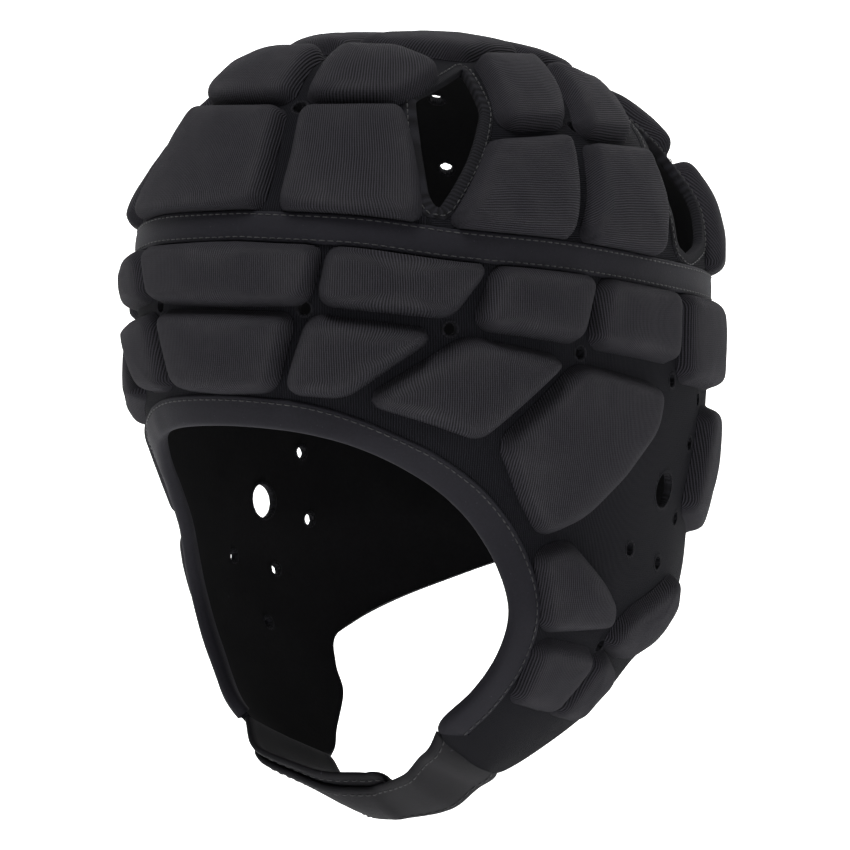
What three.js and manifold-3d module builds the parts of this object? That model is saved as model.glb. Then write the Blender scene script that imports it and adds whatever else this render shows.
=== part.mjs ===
import * as THREE from "three";
import { mergeVertices } from "three/addons/utils/BufferGeometryUtils.js";
import Module from "manifold-3d";

// Padded rugby scrum cap, as worn: +X is the wearer's left, -Y is the front, +Z is up, in mm.
// The origin is the middle of the inside of the crown, where the top of the head rests.

// Size of the cap, over the outer face of the thin base under the pads
const capHalfLength = 102.5; // middle to front or back, at the band
const capHalfWidth = 81.5; // middle to side, at the band
const capHeight = 240.5; // top of the crown to the lowest point of the flaps
const baseThickness = 2.5; // laminate of knit, film and lining under the pads

// Pads
const padHeight = 6; // how far the pads stand above the base
const smallPadHeight = 5.2; // the same for the pads under the ears and on the cheeks
const padEdgeRound = 3.2; // width of the rounded top edge
const padCornerRound = 3.5; // corner radius in plan
const padGap = 0.72; // clearance between a pad and the base
const padSpread = 0.8; // how far the foot of a pad reaches past its drawn outline

// Tapes, binding and strap
const tapeWidth = 9.5; // seam tape between crown and band
const tapeThickness = 0.9;
const bindingWidth = 9; // folded tape round the face opening
const bindingThickness = 0.8;
const innerShare = 0.55; // width of the inner half of the fold as a share of the outer
const strapThickness = 2.2;
const strapOverlap = 0.88; // how far the outer half passes the middle, share of half the strap
const strapTail = 0.15; // how far the inner half passes it
const strapLapGap = 0.8; // between the lapped halves
const strapSetback = 5; // front edge of the outer half behind that of the inner half
const strapSlack = 3; // how far the lapped halves hang below the line of the chin
const seamGap = 0.3; // clearance between neighbouring pieces of fabric
const foldGap = 0.8; // clearance between the binding and the outer face of the base
const liningGap = 1.2; // clearance between the binding and the inner face

// Holes
const earHoleDiameter = 11.3;
const smallHoleDiameter = 4.2;
const crossingHoleDiameter = 4; // where the grooves of the band cross
const crownHoleDiameter = 4.6;

// How the sewn front sits off the middle line, in degrees
const grooveShift = 6; // groove of the front petal, to the wearer's left
const frontDrift = 4.5; // front of the band, to the wearer's right

// Cross-sections from the crown down. drop: share of capHeight. front, back: reach as shares of
// capHalfLength. side: share of capHalfWidth. middle: how far forward the section is centred,
// share of capHalfLength. square: 2 is an ellipse, more is squarer.
const sections = [
  { drop: 0, front: 0.115, back: -0.115, side: 0, middle: 0.115, square: 2.0 },
  { drop: 0.004, front: 0.365, back: 0.135, side: 0.24, middle: 0.115, square: 2.0 },
  { drop: 0.022, front: 0.615, back: 0.327, side: 0.47, middle: 0.115, square: 2.05 },
  { drop: 0.084, front: 0.798, back: 0.683, side: 0.735, middle: 0.077, square: 2.1 },
  { drop: 0.152, front: 0.889, back: 0.885, side: 0.88, middle: 0.02, square: 2.15 },
  { drop: 0.222, front: 0.971, back: 0.981, side: 0.976, middle: 0, square: 2.2 },
  { drop: 0.264, front: 0.99, back: 1, side: 0.994, middle: 0, square: 2.2 },
  { drop: 0.385, front: 0.981, back: 1, side: 1, middle: 0, square: 2.2 },
  { drop: 0.489, front: 0.942, back: 0.99, side: 0.988, middle: 0, square: 2.2 },
  { drop: 0.538, front: 0.865, back: 0.975, side: 0.976, middle: 0, square: 2.2 },
  { drop: 0.584, front: 0.788, back: 0.94, side: 0.959, middle: 0, square: 2.2 },
  { drop: 0.634, front: 0.731, back: 0.9, side: 0.94, middle: 0, square: 2.2 },
  { drop: 0.688, front: 0.712, back: 0.885, side: 0.925, middle: 0, square: 2.2 },
  { drop: 0.75, front: 0.731, back: 0.84, side: 0.86, middle: 0.01, square: 2.35 },
  { drop: 0.809, front: 0.692, back: 0.702, side: 0.771, middle: 0.029, square: 2.5 },
  { drop: 0.867, front: 0.615, back: 0.558, side: 0.669, middle: 0.087, square: 2.4 },
  { drop: 0.913, front: 0.51, back: 0.442, side: 0.554, middle: 0.144, square: 2.2 },
  { drop: 0.958, front: 0.375, back: 0.25, side: 0.398, middle: 0.202, square: 2.0 },
  { drop: 1, front: 0.288, back: -0.135, side: 0.108, middle: 0.212, square: 2.0 },
];

// The pads and edges below are drawn on a pattern: turn is the angle round from the front in
// degrees, down is the way down the side from the middle of the crown for this side length.
const patternLength = 323.6;

// Line of the seam between crown and band
const seamLine = [
  { turn: 0, down: 106.5 },
  { turn: 20, down: 108 },
  { turn: 40, down: 112.5 },
  { turn: 60, down: 115.5 },
  { turn: 80, down: 119 },
  { turn: 100, down: 122.5 },
  { turn: 120, down: 125.5 },
  { turn: 150, down: 129.5 },
  { turn: 180, down: 131 },
];

// Band, flap and nape: one row for each line that runs from the seam over a middle point to
// the lower edge. edge says which edge it ends on.
const bandLines = [
  { top: 0, midTurn: 0, midDown: 140, endTurn: 0, endDown: 167.5, edge: "face" },
  { top: 8, midTurn: 8, midDown: 140, endTurn: 8.5, endDown: 168, edge: "face" },
  { top: 16, midTurn: 16, midDown: 141, endTurn: 16.5, endDown: 169.5, edge: "face" },
  { top: 24, midTurn: 24, midDown: 143, endTurn: 24.5, endDown: 173, edge: "face" },
  { top: 31, midTurn: 31.5, midDown: 146, endTurn: 33, endDown: 179.5, edge: "face" },
  { top: 38, midTurn: 38.5, midDown: 150, endTurn: 41.5, endDown: 188.5, edge: "face" },
  { top: 44, midTurn: 46, midDown: 157, endTurn: 49, endDown: 199.5, edge: "face" },
  { top: 50, midTurn: 53, midDown: 166, endTurn: 55.2, endDown: 213, edge: "face" },
  { top: 56, midTurn: 61, midDown: 179, endTurn: 58.6, endDown: 228, edge: "face" },
  { top: 61, midTurn: 68, midDown: 192, endTurn: 57.6, endDown: 243, edge: "face" },
  { top: 66, midTurn: 74, midDown: 203, endTurn: 54, endDown: 257, edge: "face" },
  { top: 71, midTurn: 79, midDown: 212, endTurn: 49.5, endDown: 271, edge: "face" },
  { top: 75, midTurn: 84, midDown: 218, endTurn: 62, endDown: 281, edge: "tip" },
  { top: 79, midTurn: 88, midDown: 221, endTurn: 84, endDown: 290, edge: "tip" },
  { top: 84, midTurn: 93, midDown: 222, endTurn: 111, endDown: 294, edge: "hem" },
  { top: 89, midTurn: 99, midDown: 221, endTurn: 118, endDown: 283, edge: "hem" },
  { top: 95, midTurn: 105, midDown: 217, endTurn: 122, endDown: 270, edge: "hem" },
  { top: 101, midTurn: 111, midDown: 211, endTurn: 119, endDown: 259, edge: "hem" },
  { top: 108, midTurn: 117, midDown: 205, endTurn: 119, endDown: 249.5, edge: "hem" },
  { top: 116, midTurn: 123, midDown: 201, endTurn: 128, endDown: 242.5, edge: "hem" },
  { top: 126, midTurn: 132, midDown: 197, endTurn: 139, endDown: 235.5, edge: "hem" },
  { top: 138, midTurn: 142, midDown: 193, endTurn: 150, endDown: 229, edge: "hem" },
  { top: 152, midTurn: 154, midDown: 189, endTurn: 161, endDown: 222.5, edge: "hem" },
  { top: 166, midTurn: 167, midDown: 186, endTurn: 171, endDown: 218, edge: "hem" },
  { top: 180, midTurn: 180, midDown: 184, endTurn: 180, endDown: 216, edge: "hem" },
];

// Pads of the crown on the wearer's left, corners as [turn, down]. A down of "seam" is the
// upper edge of the seam tape.
const seamEdge = "seam";
const crownPads = {
  front_petal_low: [[2.6, seamEdge], [32, seamEdge], [31, 66.5], [3, 66.5]],
  front_petal_high: [[3.2, 61.5], [30.5, 62], [44.5, 47.5], [31, 35], [4.5, 34]],
  side_petal_front_low: [[39, seamEdge], [64, seamEdge], [74.3, 77.5], [50.5, 79.5]],
  side_petal_front_high: [[57, 72.5], [77, 71.5], [103, 41], [66, 41]],
  side_petal_rear_low: [[68.7, seamEdge], [95, seamEdge], [106, 82.5], [81.7, 80.5]],
  side_petal_rear_high: [[83.5, 75], [106, 76], [130, 54], [109, 45]],
  back_petal_side_low: [[128, seamEdge], [146.5, seamEdge], [148.5, 88], [138, 87]],
  back_petal_side_high: [[139.5, 81], [148.6, 81.5], [151, 57.5], [143.5, 61]],
  back_petal_rear_low: [[151.7, seamEdge], [174.5, seamEdge], [169.5, 87], [153.8, 88]],
  back_petal_rear_high: [[154.2, 81.5], [168.5, 79], [169, 63], [158, 57.5]],
};

// Wedge pads round the middle of the crown, corners as [turn, down], left side and the back one
const wedgePads = {
  crown_wedge_front: [[160, 13.5], [12, 7], [6, 28.5], [31, 29.5], [60, 36], [84, 35], [110, 36]],
  crown_wedge_side: [[166, 18], [123, 39.5], [132, 49], [142, 50.5], [152, 46.5], [162, 31]],
};
const rearWedge = [[180, 23], [169, 36], [163, 49.5], [180, 56], [-163, 49.5], [-169, 36]];

// Pads of the band, flap and nape on the wearer's left, corners as [turn, down]
const bandPads = {
  band_pad_1: [[22.3, seamEdge], [48.6, seamEdge], [42, 133], [20.2, 129]],
  band_pad_2: [[51.5, seamEdge], [73.2, seamEdge], [69.5, 141.5], [47.5, 136.5]],
  band_pad_3: [[77.5, seamEdge], [104, seamEdge], [103, 149], [73.8, 143]],
  band_pad_4: [[108.3, seamEdge], [140.5, seamEdge], [140.5, 159], [126, 158], [108.3, 155]],
  band_pad_5: [[144, seamEdge], [177.6, seamEdge], [177.6, 161.5], [144, 160]],
  temple_pad_1: [[18.4, 135.3], [38.5, 139.7], [23.6, 157.3], [14, 156.3]],
  temple_pad_2: [[28.5, 159.5], [45, 142], [65, 148.8], [48, 170.5], [39, 165]],
  temple_pad_3: [[53, 173], [69.3, 151], [97, 158.8], [95.5, 170], [84, 184.5], [73, 196.5],
    [64, 201.5], [58.5, 189.5]],
  nape_pad: [[124, 167], [148.5, 169], [149, 202], [134, 206], [119, 197.5]],
  cheek_pad_upper: [[63.5, 208.5], [70.5, 206], [88, 227], [89, 233], [67, 232.5]],
  cheek_pad_lower: [[67, 238], [88.3, 244], [84, 263], [65.5, 257.5]],
  cheek_pad_rear: [[93, 244], [107, 253], [104, 268], [88.5, 264]],
  ear_rim_pad: [[116.5, 219.5], [122, 230], [117, 240.5], [106, 246], [93.6, 240], [97.5, 230.5],
    [110, 224]],
};
const smallPads = ["cheek_pad_upper", "cheek_pad_lower", "cheek_pad_rear", "ear_rim_pad"];

// Pads on the middle line, right-hand half of the outline left out
const middlePads = {
  brow_pad_centre: [[0, seamEdge], [19.6, seamEdge], [17.2, 129], [0, 129.6]],
  forehead_pad_centre: [[0, 134.3], [14.6, 134.6], [10.6, 155.8], [0, 156.8]],
  nape_pad_centre: [[180, 169.5], [153, 169], [154, 202], [180, 200.5]],
};

// Vents of the crown on the wearer's left and the one at the back, as [turn, down]
const vents = {
  front: [[36.3, 102], [34.5, 97], [34, 82], [35.5, 59], [57.5, 43], [54, 65], [45.5, 82]],
  side: [[113, 117], [106.5, 113], [107, 99], [112.5, 85], [133.5, 67], [135, 79], [132, 97], [124, 113]],
};
const rearVent = [[180, 121], [174, 98], [173.5, 80], [180, 64], [-173.5, 80], [-174, 98]];

// Round holes, as turn and down
const crownHoles = [
  { turn: 84, down: 72 },
  { turn: 151.2, down: 84.7 },
  { turn: 154.6, down: 53.5 },
];
const grooveHoles = [
  { turn: 17, down: 131.8, size: crossingHoleDiameter },
  { turn: 42.4, down: 138, size: crossingHoleDiameter },
  { turn: 71, down: 146, size: crossingHoleDiameter },
  { turn: 105.5, down: 156, size: crossingHoleDiameter },
  { turn: 122, down: 163, size: crossingHoleDiameter },
  { turn: 92.3, down: 241.5, size: crossingHoleDiameter },
];

// Holes over the ears. The ones on the wearer's right sit a little further forward and lower.
const leftEarHoles = [
  { turn: 106, down: 191, size: earHoleDiameter },
  { turn: 118, down: 177, size: smallHoleDiameter },
  { turn: 115.5, down: 201, size: smallHoleDiameter },
  { turn: 93, down: 209, size: smallHoleDiameter },
  { turn: 107, down: 214.5, size: smallHoleDiameter },
];
const rightEarHoles = [
  { turn: 98.7, down: 199.5, size: earHoleDiameter },
  { turn: 113.4, down: 184, size: smallHoleDiameter },
  { turn: 114.4, down: 206.5, size: smallHoleDiameter },
  { turn: 84.2, down: 217, size: smallHoleDiameter },
  { turn: 101.2, down: 223, size: smallHoleDiameter },
];

// Chin strap from the end of the flap to the middle of the chin. along: 0 at the flap, 1 at the
// middle. out: share of capHalfWidth; frontReach, rearReach: share of capHalfLength;
// frontDrop, rearDrop: share of capHeight.
const chinLine = [
  { along: 0.25, out: 0.4, frontReach: 0.46, frontDrop: 0.907, rearReach: 0.045, rearDrop: 0.962 },
  { along: 0.5, out: 0.28, frontReach: 0.41, frontDrop: 0.927, rearReach: 0.06, rearDrop: 0.981 },
  { along: 0.75, out: 0.145, frontReach: 0.36, frontDrop: 0.943, rearReach: 0.1, rearDrop: 0.997 },
  { along: 1, out: 0, frontReach: 0.335, frontDrop: 0.95, rearReach: 0.145, rearDrop: 1.002 },
];

// Colours taken from the dark fabrics
const knitColour = 0x26262a;
const tapeColour = 0x2e2e36;
const liningColour = 0x1d1d1f;

const wasm = await Module();
wasm.setup();

// Smooth value of a table column at x
function along(rows, key, by, x) {
  const last = rows.length - 1;
  const slopes = rows.map((row, i) => {
    if (i === 0 || i === last) return 0;
    const before = (row[by] - rows[i - 1][by]) / (row[key] - rows[i - 1][key]);
    const after = (rows[i + 1][by] - row[by]) / (rows[i + 1][key] - row[key]);
    return before * after > 0 ? (2 * before * after) / (before + after) : 0;
  });
  slopes[0] = (rows[1][by] - rows[0][by]) / (rows[1][key] - rows[0][key]);
  slopes[last] = (rows[last][by] - rows[last - 1][by]) / (rows[last][key] - rows[last - 1][key]);
  let i = 0;
  while (i < last - 1 && x > rows[i + 1][key]) i += 1;
  const span = rows[i + 1][key] - rows[i][key];
  const t = Math.min(Math.max((x - rows[i][key]) / span, 0), 1);
  const t2 = t * t;
  const t3 = t2 * t;
  return (2 * t3 - 3 * t2 + 1) * rows[i][by]
    + (t3 - 2 * t2 + t) * span * slopes[i]
    + (3 * t2 - 2 * t3) * rows[i + 1][by]
    + (t3 - t2) * span * slopes[i + 1];
}

// Sections in mm with the way down the side that each one is at
const rings = [];
for (const row of sections) {
  const ring = {
    z: baseThickness - row.drop * capHeight,
    front: row.front * capHalfLength,
    back: row.back * capHalfLength,
    side: row.side * capHalfWidth,
    middle: row.middle * capHalfLength,
    square: row.square,
    down: 0,
  };
  const above = rings[rings.length - 1];
  if (above) ring.down = above.down + Math.hypot(ring.side - above.side, ring.z - above.z);
  rings.push(ring);
}
const patternScale = rings[rings.length - 1].down / patternLength;

const radians = Math.PI / 180;

// Point on the outer face of the base
function onCap(turn, down) {
  const at = down * patternScale;
  const [z, front, back, side, middle, square] = ["z", "front", "back", "side", "middle", "square"]
    .map((by) => along(rings, "down", by, at));
  const c = Math.cos(turn * radians);
  const s = Math.sin(turn * radians);
  const reach = Math.max(c >= 0 ? front - middle : back + middle, 1e-6);
  const sum = (Math.abs(c) / reach) ** square + (Math.abs(s) / Math.max(side, 1e-6)) ** square;
  const r = sum ** (-1 / square);
  return new THREE.Vector3(r * s, -middle - r * c, z);
}

// The same with a distance out from the base, for the pattern read as polar coordinates
function offCap(turn, down, out) {
  const u = down * Math.sin(turn * radians);
  const v = down * Math.cos(turn * radians);
  const at = (du, dv) => onCap(Math.atan2(u + du, v + dv) / radians, Math.hypot(u + du, v + dv));
  const a = at(0.4, 0).sub(at(-0.4, 0));
  const b = at(0, 0.4).sub(at(0, -0.4));
  const normal = b.cross(a).normalize();
  return onCap(turn, down).addScaledVector(normal, out);
}

const bandTurn = (turn) => turn - frontDrift * (1 + Math.cos(turn * radians)) / 2;
const inBand = (turn, down, out) => offCap(bandTurn(turn), down, out);
// the shift fades out at the outer edge of the front petal
const petalSpan = crownPads.front_petal_low[1][0];
const crownTurn = (turn) => turn + grooveShift * Math.max(1 - Math.abs(turn) / petalSpan, 0);
const inCrown = (turn, down, out) => offCap(crownTurn(turn), down, out);
const seamAt = (turn) => along(seamLine, "turn", "down", Math.abs(((turn + 540) % 360) - 180));

// The same for pads, which stop short of the seam tape
const tapeClear = tapeWidth / 2 + seamGap;
const onCrownPad = (turn, down, out) => {
  const turned = crownTurn(turn);
  return offCap(turned, Math.min(down, seamAt(turned) - tapeClear), out);
};
const onBandPad = (turn, down, out) => {
  const turned = bandTurn(turn);
  return offCap(turned, Math.max(down, seamAt(turned) + tapeClear), out);
};

// Triangle collector
class Body {
  constructor() {
    this.points = [];
    this.faces = [];
  }
  add(p) {
    this.points.push(p.x, p.y, p.z);
    return this.points.length / 3 - 1;
  }
  quad(a, b, c, d) {
    this.faces.push(a, b, c, a, c, d);
  }
  geometry() {
    const g = new THREE.BufferGeometry();
    g.setAttribute("position", new THREE.Float32BufferAttribute(this.points, 3));
    g.setIndex(this.faces);
    return outward(g);
  }
}

// Turn all faces out
function outward(g) {
  const p = g.getAttribute("position");
  const index = g.getIndex().array;
  const a = new THREE.Vector3();
  const b = new THREE.Vector3();
  const c = new THREE.Vector3();
  let volume = 0;
  for (let i = 0; i < index.length; i += 3) {
    a.fromBufferAttribute(p, index[i]);
    b.fromBufferAttribute(p, index[i + 1]);
    c.fromBufferAttribute(p, index[i + 2]);
    volume += a.dot(b.cross(c));
  }
  if (volume < 0) {
    for (let i = 0; i < index.length; i += 3) {
      [index[i + 1], index[i + 2]] = [index[i + 2], index[i + 1]];
    }
  }
  g.computeVertexNormals();
  return g;
}

// Join rows of points into one closed body. Each row is a closed loop. Ends are closed too,
// unless the rows run round in a circle.
function loft(rows, circle) {
  const body = new Body();
  const ids = rows.map((row) => row.map((p) => body.add(p)));
  const count = rows[0].length;
  const spans = circle ? rows.length : rows.length - 1;
  for (let i = 0; i < spans; i += 1) {
    const here = ids[i];
    const next = ids[(i + 1) % rows.length];
    for (let k = 0; k < count; k += 1) {
      const k2 = (k + 1) % count;
      body.quad(here[k], next[k], next[k2], here[k2]);
    }
  }
  if (!circle) {
    for (const [end, flip] of [[ids[0], false], [ids[rows.length - 1], true]]) {
      for (let k = 1; k < count - 1; k += 1) {
        body.faces.push(end[0], flip ? end[k + 1] : end[k], flip ? end[k] : end[k + 1]);
      }
    }
  }
  return body.geometry();
}

const toSolid = (geometry) => {
  const plain = geometry.clone();
  plain.deleteAttribute("normal");
  plain.deleteAttribute("uv");
  const merged = mergeVertices(plain, 1e-5);
  return new wasm.Manifold(new wasm.Mesh({
    numProp: 3,
    vertProperties: new Float32Array(merged.getAttribute("position").array),
    triVerts: new Uint32Array(merged.getIndex().array),
  }));
};
const toGeometry = (solid) => {
  const mesh = solid.getMesh();
  const g = new THREE.BufferGeometry();
  g.setAttribute("position", new THREE.Float32BufferAttribute(mesh.vertProperties, 3));
  g.setIndex(Array.from(mesh.triVerts));
  g.computeVertexNormals();
  return g;
};

// Outline in local mm round its own middle, to round the corners and to step inwards
class Outline {
  constructor(corners, place) {
    this.place = place;
    this.turn = corners.reduce((sum, c) => sum + c[0], 0) / corners.length;
    this.down = corners.reduce((sum, c) => sum + c[1], 0) / corners.length;
    const step = place(this.turn + 1, this.down, 0).distanceTo(place(this.turn - 1, this.down, 0));
    this.perDegree = step / 2;
    this.points = corners.map((c) => new THREE.Vector2(
      (c[0] - this.turn) * this.perDegree,
      (c[1] - this.down) * patternScale,
    ));
  }
  lift(p, out) {
    return this.place(this.turn + p.x / this.perDegree, this.down + p.y / patternScale, out);
  }
}

// The same for the top of the crown, where the pattern is read as polar coordinates
class PolarOutline {
  constructor(corners, place) {
    this.place = place;
    this.points = corners.map(([turn, down]) => new THREE.Vector2(
      down * Math.sin(turn * radians),
      down * Math.cos(turn * radians),
    ));
    this.centre = this.points
      .reduce((sum, p) => sum.add(p), new THREE.Vector2())
      .divideScalar(corners.length);
    this.points.forEach((p) => p.sub(this.centre));
  }
  lift(p, out) {
    const u = p.x + this.centre.x;
    const v = p.y + this.centre.y;
    return this.place(Math.atan2(u, v) / radians, Math.hypot(u, v), out);
  }
}

// Round the corners of a closed outline and split its long sides
function rounded(points, radius, longest) {
  const out = [];
  const n = points.length;
  for (let i = 0; i < n; i += 1) {
    const here = points[i];
    const prev = points[(i + n - 1) % n];
    const next = points[(i + 1) % n];
    const inLength = here.distanceTo(prev);
    const outLength = here.distanceTo(next);
    const cut = Math.min(radius, inLength * 0.4, outLength * 0.4);
    const a = here.clone().lerp(prev, cut / inLength);
    const b = here.clone().lerp(next, cut / outLength);
    const after = Math.min(radius, outLength * 0.4, next.distanceTo(points[(i + 2) % n]) * 0.4);
    out.push(a, b);
    const rest = outLength - cut - after;
    const pieces = Math.ceil(rest / longest);
    for (let k = 1; k < pieces; k += 1) {
      out.push(here.clone().lerp(next, (cut + (rest * k) / pieces) / outLength));
    }
  }
  return out;
}

// Step a closed outline inwards by a distance. A side too short to survive keeps a sliver.
function inset(points, distance) {
  const n = points.length;
  const area = points.reduce((sum, p, i) => sum + p.cross(points[(i + 1) % n]), 0);
  const side = area > 0 ? 1 : -1;
  const moved = points.map((p, i) => {
    const a = p.clone().sub(points[(i + n - 1) % n]).normalize();
    const b = points[(i + 1) % n].clone().sub(p).normalize();
    const na = new THREE.Vector2(-a.y, a.x).multiplyScalar(side);
    const nb = new THREE.Vector2(-b.y, b.x).multiplyScalar(side);
    const mid = na.add(nb).normalize();
    return p.clone().addScaledVector(mid, distance / Math.max(mid.dot(nb), 0.6));
  });
  for (let i = 0; i < n; i += 1) {
    const j = (i + 1) % n;
    const before = points[j].clone().sub(points[i]).normalize();
    if (moved[j].clone().sub(moved[i]).dot(before) < 0.1) {
      const middle = moved[i].clone().lerp(moved[j], 0.5);
      moved[i] = middle.clone().addScaledVector(before, -0.05);
      moved[j] = middle.clone().addScaledVector(before, 0.05);
    }
  }
  return moved;
}

// Closed pad: underside that follows the base, steep sides and a rounded top
function pad(outline, height) {
  const rim = inset(rounded(outline.points, padCornerRound, 17), -padSpread);
  const smallest = Math.min(...rim.map((p) => p.length()));
  const largest = Math.max(...rim.map((p) => p.length()));
  const round = Math.min(padEdgeRound, smallest * 0.42);
  const foot = padGap + largest / 250; // large pads stand a little higher off the base
  const body = new Body();
  const ring = (points, out) => points.map((p) => body.add(outline.lift(p, out)));
  const shrunk = (points, share) => points.map((p) => p.clone().multiplyScalar(share));
  const crest = inset(rim, round);
  const rows = largest > 33 ? [ring(shrunk(rim, 0.33), foot + 0.3)] : [];
  if (largest > 21) rows.push(ring(shrunk(rim, largest > 33 ? 0.67 : 0.5), foot + 0.25));
  rows.push(
    ring(rim, foot),
    ring(inset(rim, 0.5), foot + (height - foot) * 0.62),
    ring(crest, height),
  );
  if (largest > 28) rows.push(ring(shrunk(crest, 0.5), height + 0.25));
  const n = rim.length;
  for (let k = 0; k + 1 < rows.length; k += 1) {
    for (let i = 0; i < n; i += 1) {
      const j = (i + 1) % n;
      body.quad(rows[k][i], rows[k][j], rows[k + 1][j], rows[k + 1][i]);
    }
  }
  const middle = new THREE.Vector2(0, 0);
  const under = body.add(outline.lift(middle, foot + 0.4));
  const over = body.add(outline.lift(middle, height + 0.4));
  const top = rows[rows.length - 1];
  for (let i = 0; i < n; i += 1) {
    const j = (i + 1) % n;
    body.faces.push(rows[0][j], rows[0][i], under);
    body.faces.push(top[i], top[j], over);
  }
  return body.geometry();
}

// Straight-sided plug through the base, to cut vents and holes
function plug(outline) {
  const rim = outline.points;
  const body = new Body();
  const low = rim.map((p) => body.add(outline.lift(p, -baseThickness - 4)));
  const high = rim.map((p) => body.add(outline.lift(p, 6)));
  const under = body.add(outline.lift(new THREE.Vector2(), -baseThickness - 4));
  const over = body.add(outline.lift(new THREE.Vector2(), 6));
  for (let i = 0; i < rim.length; i += 1) {
    const j = (i + 1) % rim.length;
    body.quad(low[i], low[j], high[j], high[i]);
    body.faces.push(low[j], low[i], under, high[i], high[j], over);
  }
  return toSolid(body.geometry());
}

function hole(turn, down, diameter, place) {
  const outline = new Outline([[turn, down]], place);
  outline.points = [];
  const sides = diameter > 8 ? 12 : 6;
  for (let i = 0; i < sides; i += 1) {
    const angle = (i / sides) * 2 * Math.PI;
    outline.points.push(new THREE.Vector2(Math.cos(angle), Math.sin(angle)).multiplyScalar(diameter / 2));
  }
  return plug(outline);
}

const mirrored = (corners) => corners.map(([turn, down]) => [-turn, down]);

// All lines round the band, from the middle of the front over the left, the back and the right
const bandRound = bandLines.map((line) => ({ line, side: 1 }))
  .concat(bandLines.slice(1, -1).reverse().map((line) => ({ line, side: -1 })));
const roundTurns = bandRound.map(({ line, side }) => bandTurn(line.top * side));

// Base of the crown: a cap of two faces with vents and holes
function crownShell() {
  const turns = roundTurns.length;
  const levels = [0, 14, 38, 66, 88];
  const body = new Body();
  const faces = [0, -baseThickness].map((out) => {
    const pole = body.add(offCap(0, 0.01, out));
    const loops = levels.slice(1).concat([null]).map((level) => {
      const loop = [];
      for (let i = 0; i < turns; i += 1) {
        const turn = roundTurns[i];
        const edge = seamAt(turn) - seamGap / 2;
        const down = level === null ? edge : level * (edge / 106.5);
        loop.push(body.add(offCap(turn, down, out)));
      }
      return loop;
    });
    return { pole, loops };
  });
  const [top, under] = faces;
  for (let i = 0; i < turns; i += 1) {
    const j = (i + 1) % turns;
    body.faces.push(top.pole, top.loops[0][i], top.loops[0][j]);
    body.faces.push(under.pole, under.loops[0][j], under.loops[0][i]);
    for (let k = 0; k + 1 < top.loops.length; k += 1) {
      body.quad(top.loops[k][i], top.loops[k + 1][i], top.loops[k + 1][j], top.loops[k][j]);
      body.quad(under.loops[k][j], under.loops[k + 1][j], under.loops[k + 1][i], under.loops[k][i]);
    }
    const last = top.loops.length - 1;
    body.quad(top.loops[last][i], under.loops[last][i], under.loops[last][j], top.loops[last][j]);
  }
  let solid = toSolid(body.geometry());
  const cuts = [new Outline(rearVent.map(([t, d]) => [(t + 360) % 360, d]), inCrown)];
  for (const shape of Object.values(vents)) {
    cuts.push(new Outline(shape, inCrown), new Outline(mirrored(shape), inCrown));
  }
  for (const cut of cuts) {
    cut.points = rounded(cut.points, 1.5, 12);
    solid = solid.subtract(plug(cut));
  }
  solid = solid.subtract(hole(0, 64, crownHoleDiameter, inCrown));
  for (const { turn, down } of crownHoles) {
    solid = solid.subtract(hole(turn, down, crownHoleDiameter, inCrown));
    solid = solid.subtract(hole(-turn, down, crownHoleDiameter, inCrown));
  }
  return toGeometry(solid);
}

// Point of the band on line c at share t of the way from the seam to the lower edge
function bandPoint(line, t, out, side) {
  const start = seamAt(bandTurn(line.top * side)) + seamGap / 2;
  const mid = { turn: line.midTurn, down: line.midDown };
  const a = (1 - t) * (1 - t);
  const b = 2 * t * (1 - t);
  const c = t * t;
  const bend = (from, to, through) => 2 * through - (from + to) / 2;
  const turn = a * line.top + b * bend(line.top, line.endTurn, mid.turn) + c * line.endTurn;
  const down = a * start + b * bend(start, line.endDown, mid.down) + c * line.endDown;
  return { turn: turn * side, down, point: inBand(turn * side, down, out) };
}

// Wall of band, flaps and nape, thicker by grow on both faces
function ringWall(grow) {
  const steps = 7;
  return toSolid(loft(bandRound.map(({ line, side }) => {
    const row = [];
    for (let k = 0; k <= steps; k += 1) row.push(bandPoint(line, k / steps, grow, side).point);
    for (let k = steps; k >= 0; k -= 1) {
      row.push(bandPoint(line, k / steps, -baseThickness - grow, side).point);
    }
    return row;
  }), true));
}

function ringShell() {
  let solid = ringWall(0);
  for (const { turn, down, size } of grooveHoles.concat(leftEarHoles)) {
    solid = solid.subtract(hole(turn, down, size, inBand));
  }
  for (const { turn, down, size } of grooveHoles.concat(rightEarHoles)) {
    solid = solid.subtract(hole(-turn, down, size, inBand));
  }
  return toGeometry(solid);
}

function seamTape() {
  const half = tapeWidth / 2;
  const low = seamGap + 0.15;
  const rows = roundTurns.map((turn) => {
    const mid = seamAt(turn);
    return [
      offCap(turn, mid - half, low),
      offCap(turn, mid - half + 0.6, low + tapeThickness),
      offCap(turn, mid + half - 0.6, low + tapeThickness),
      offCap(turn, mid + half, low),
    ];
  });
  return loft(rows, true);
}

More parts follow.
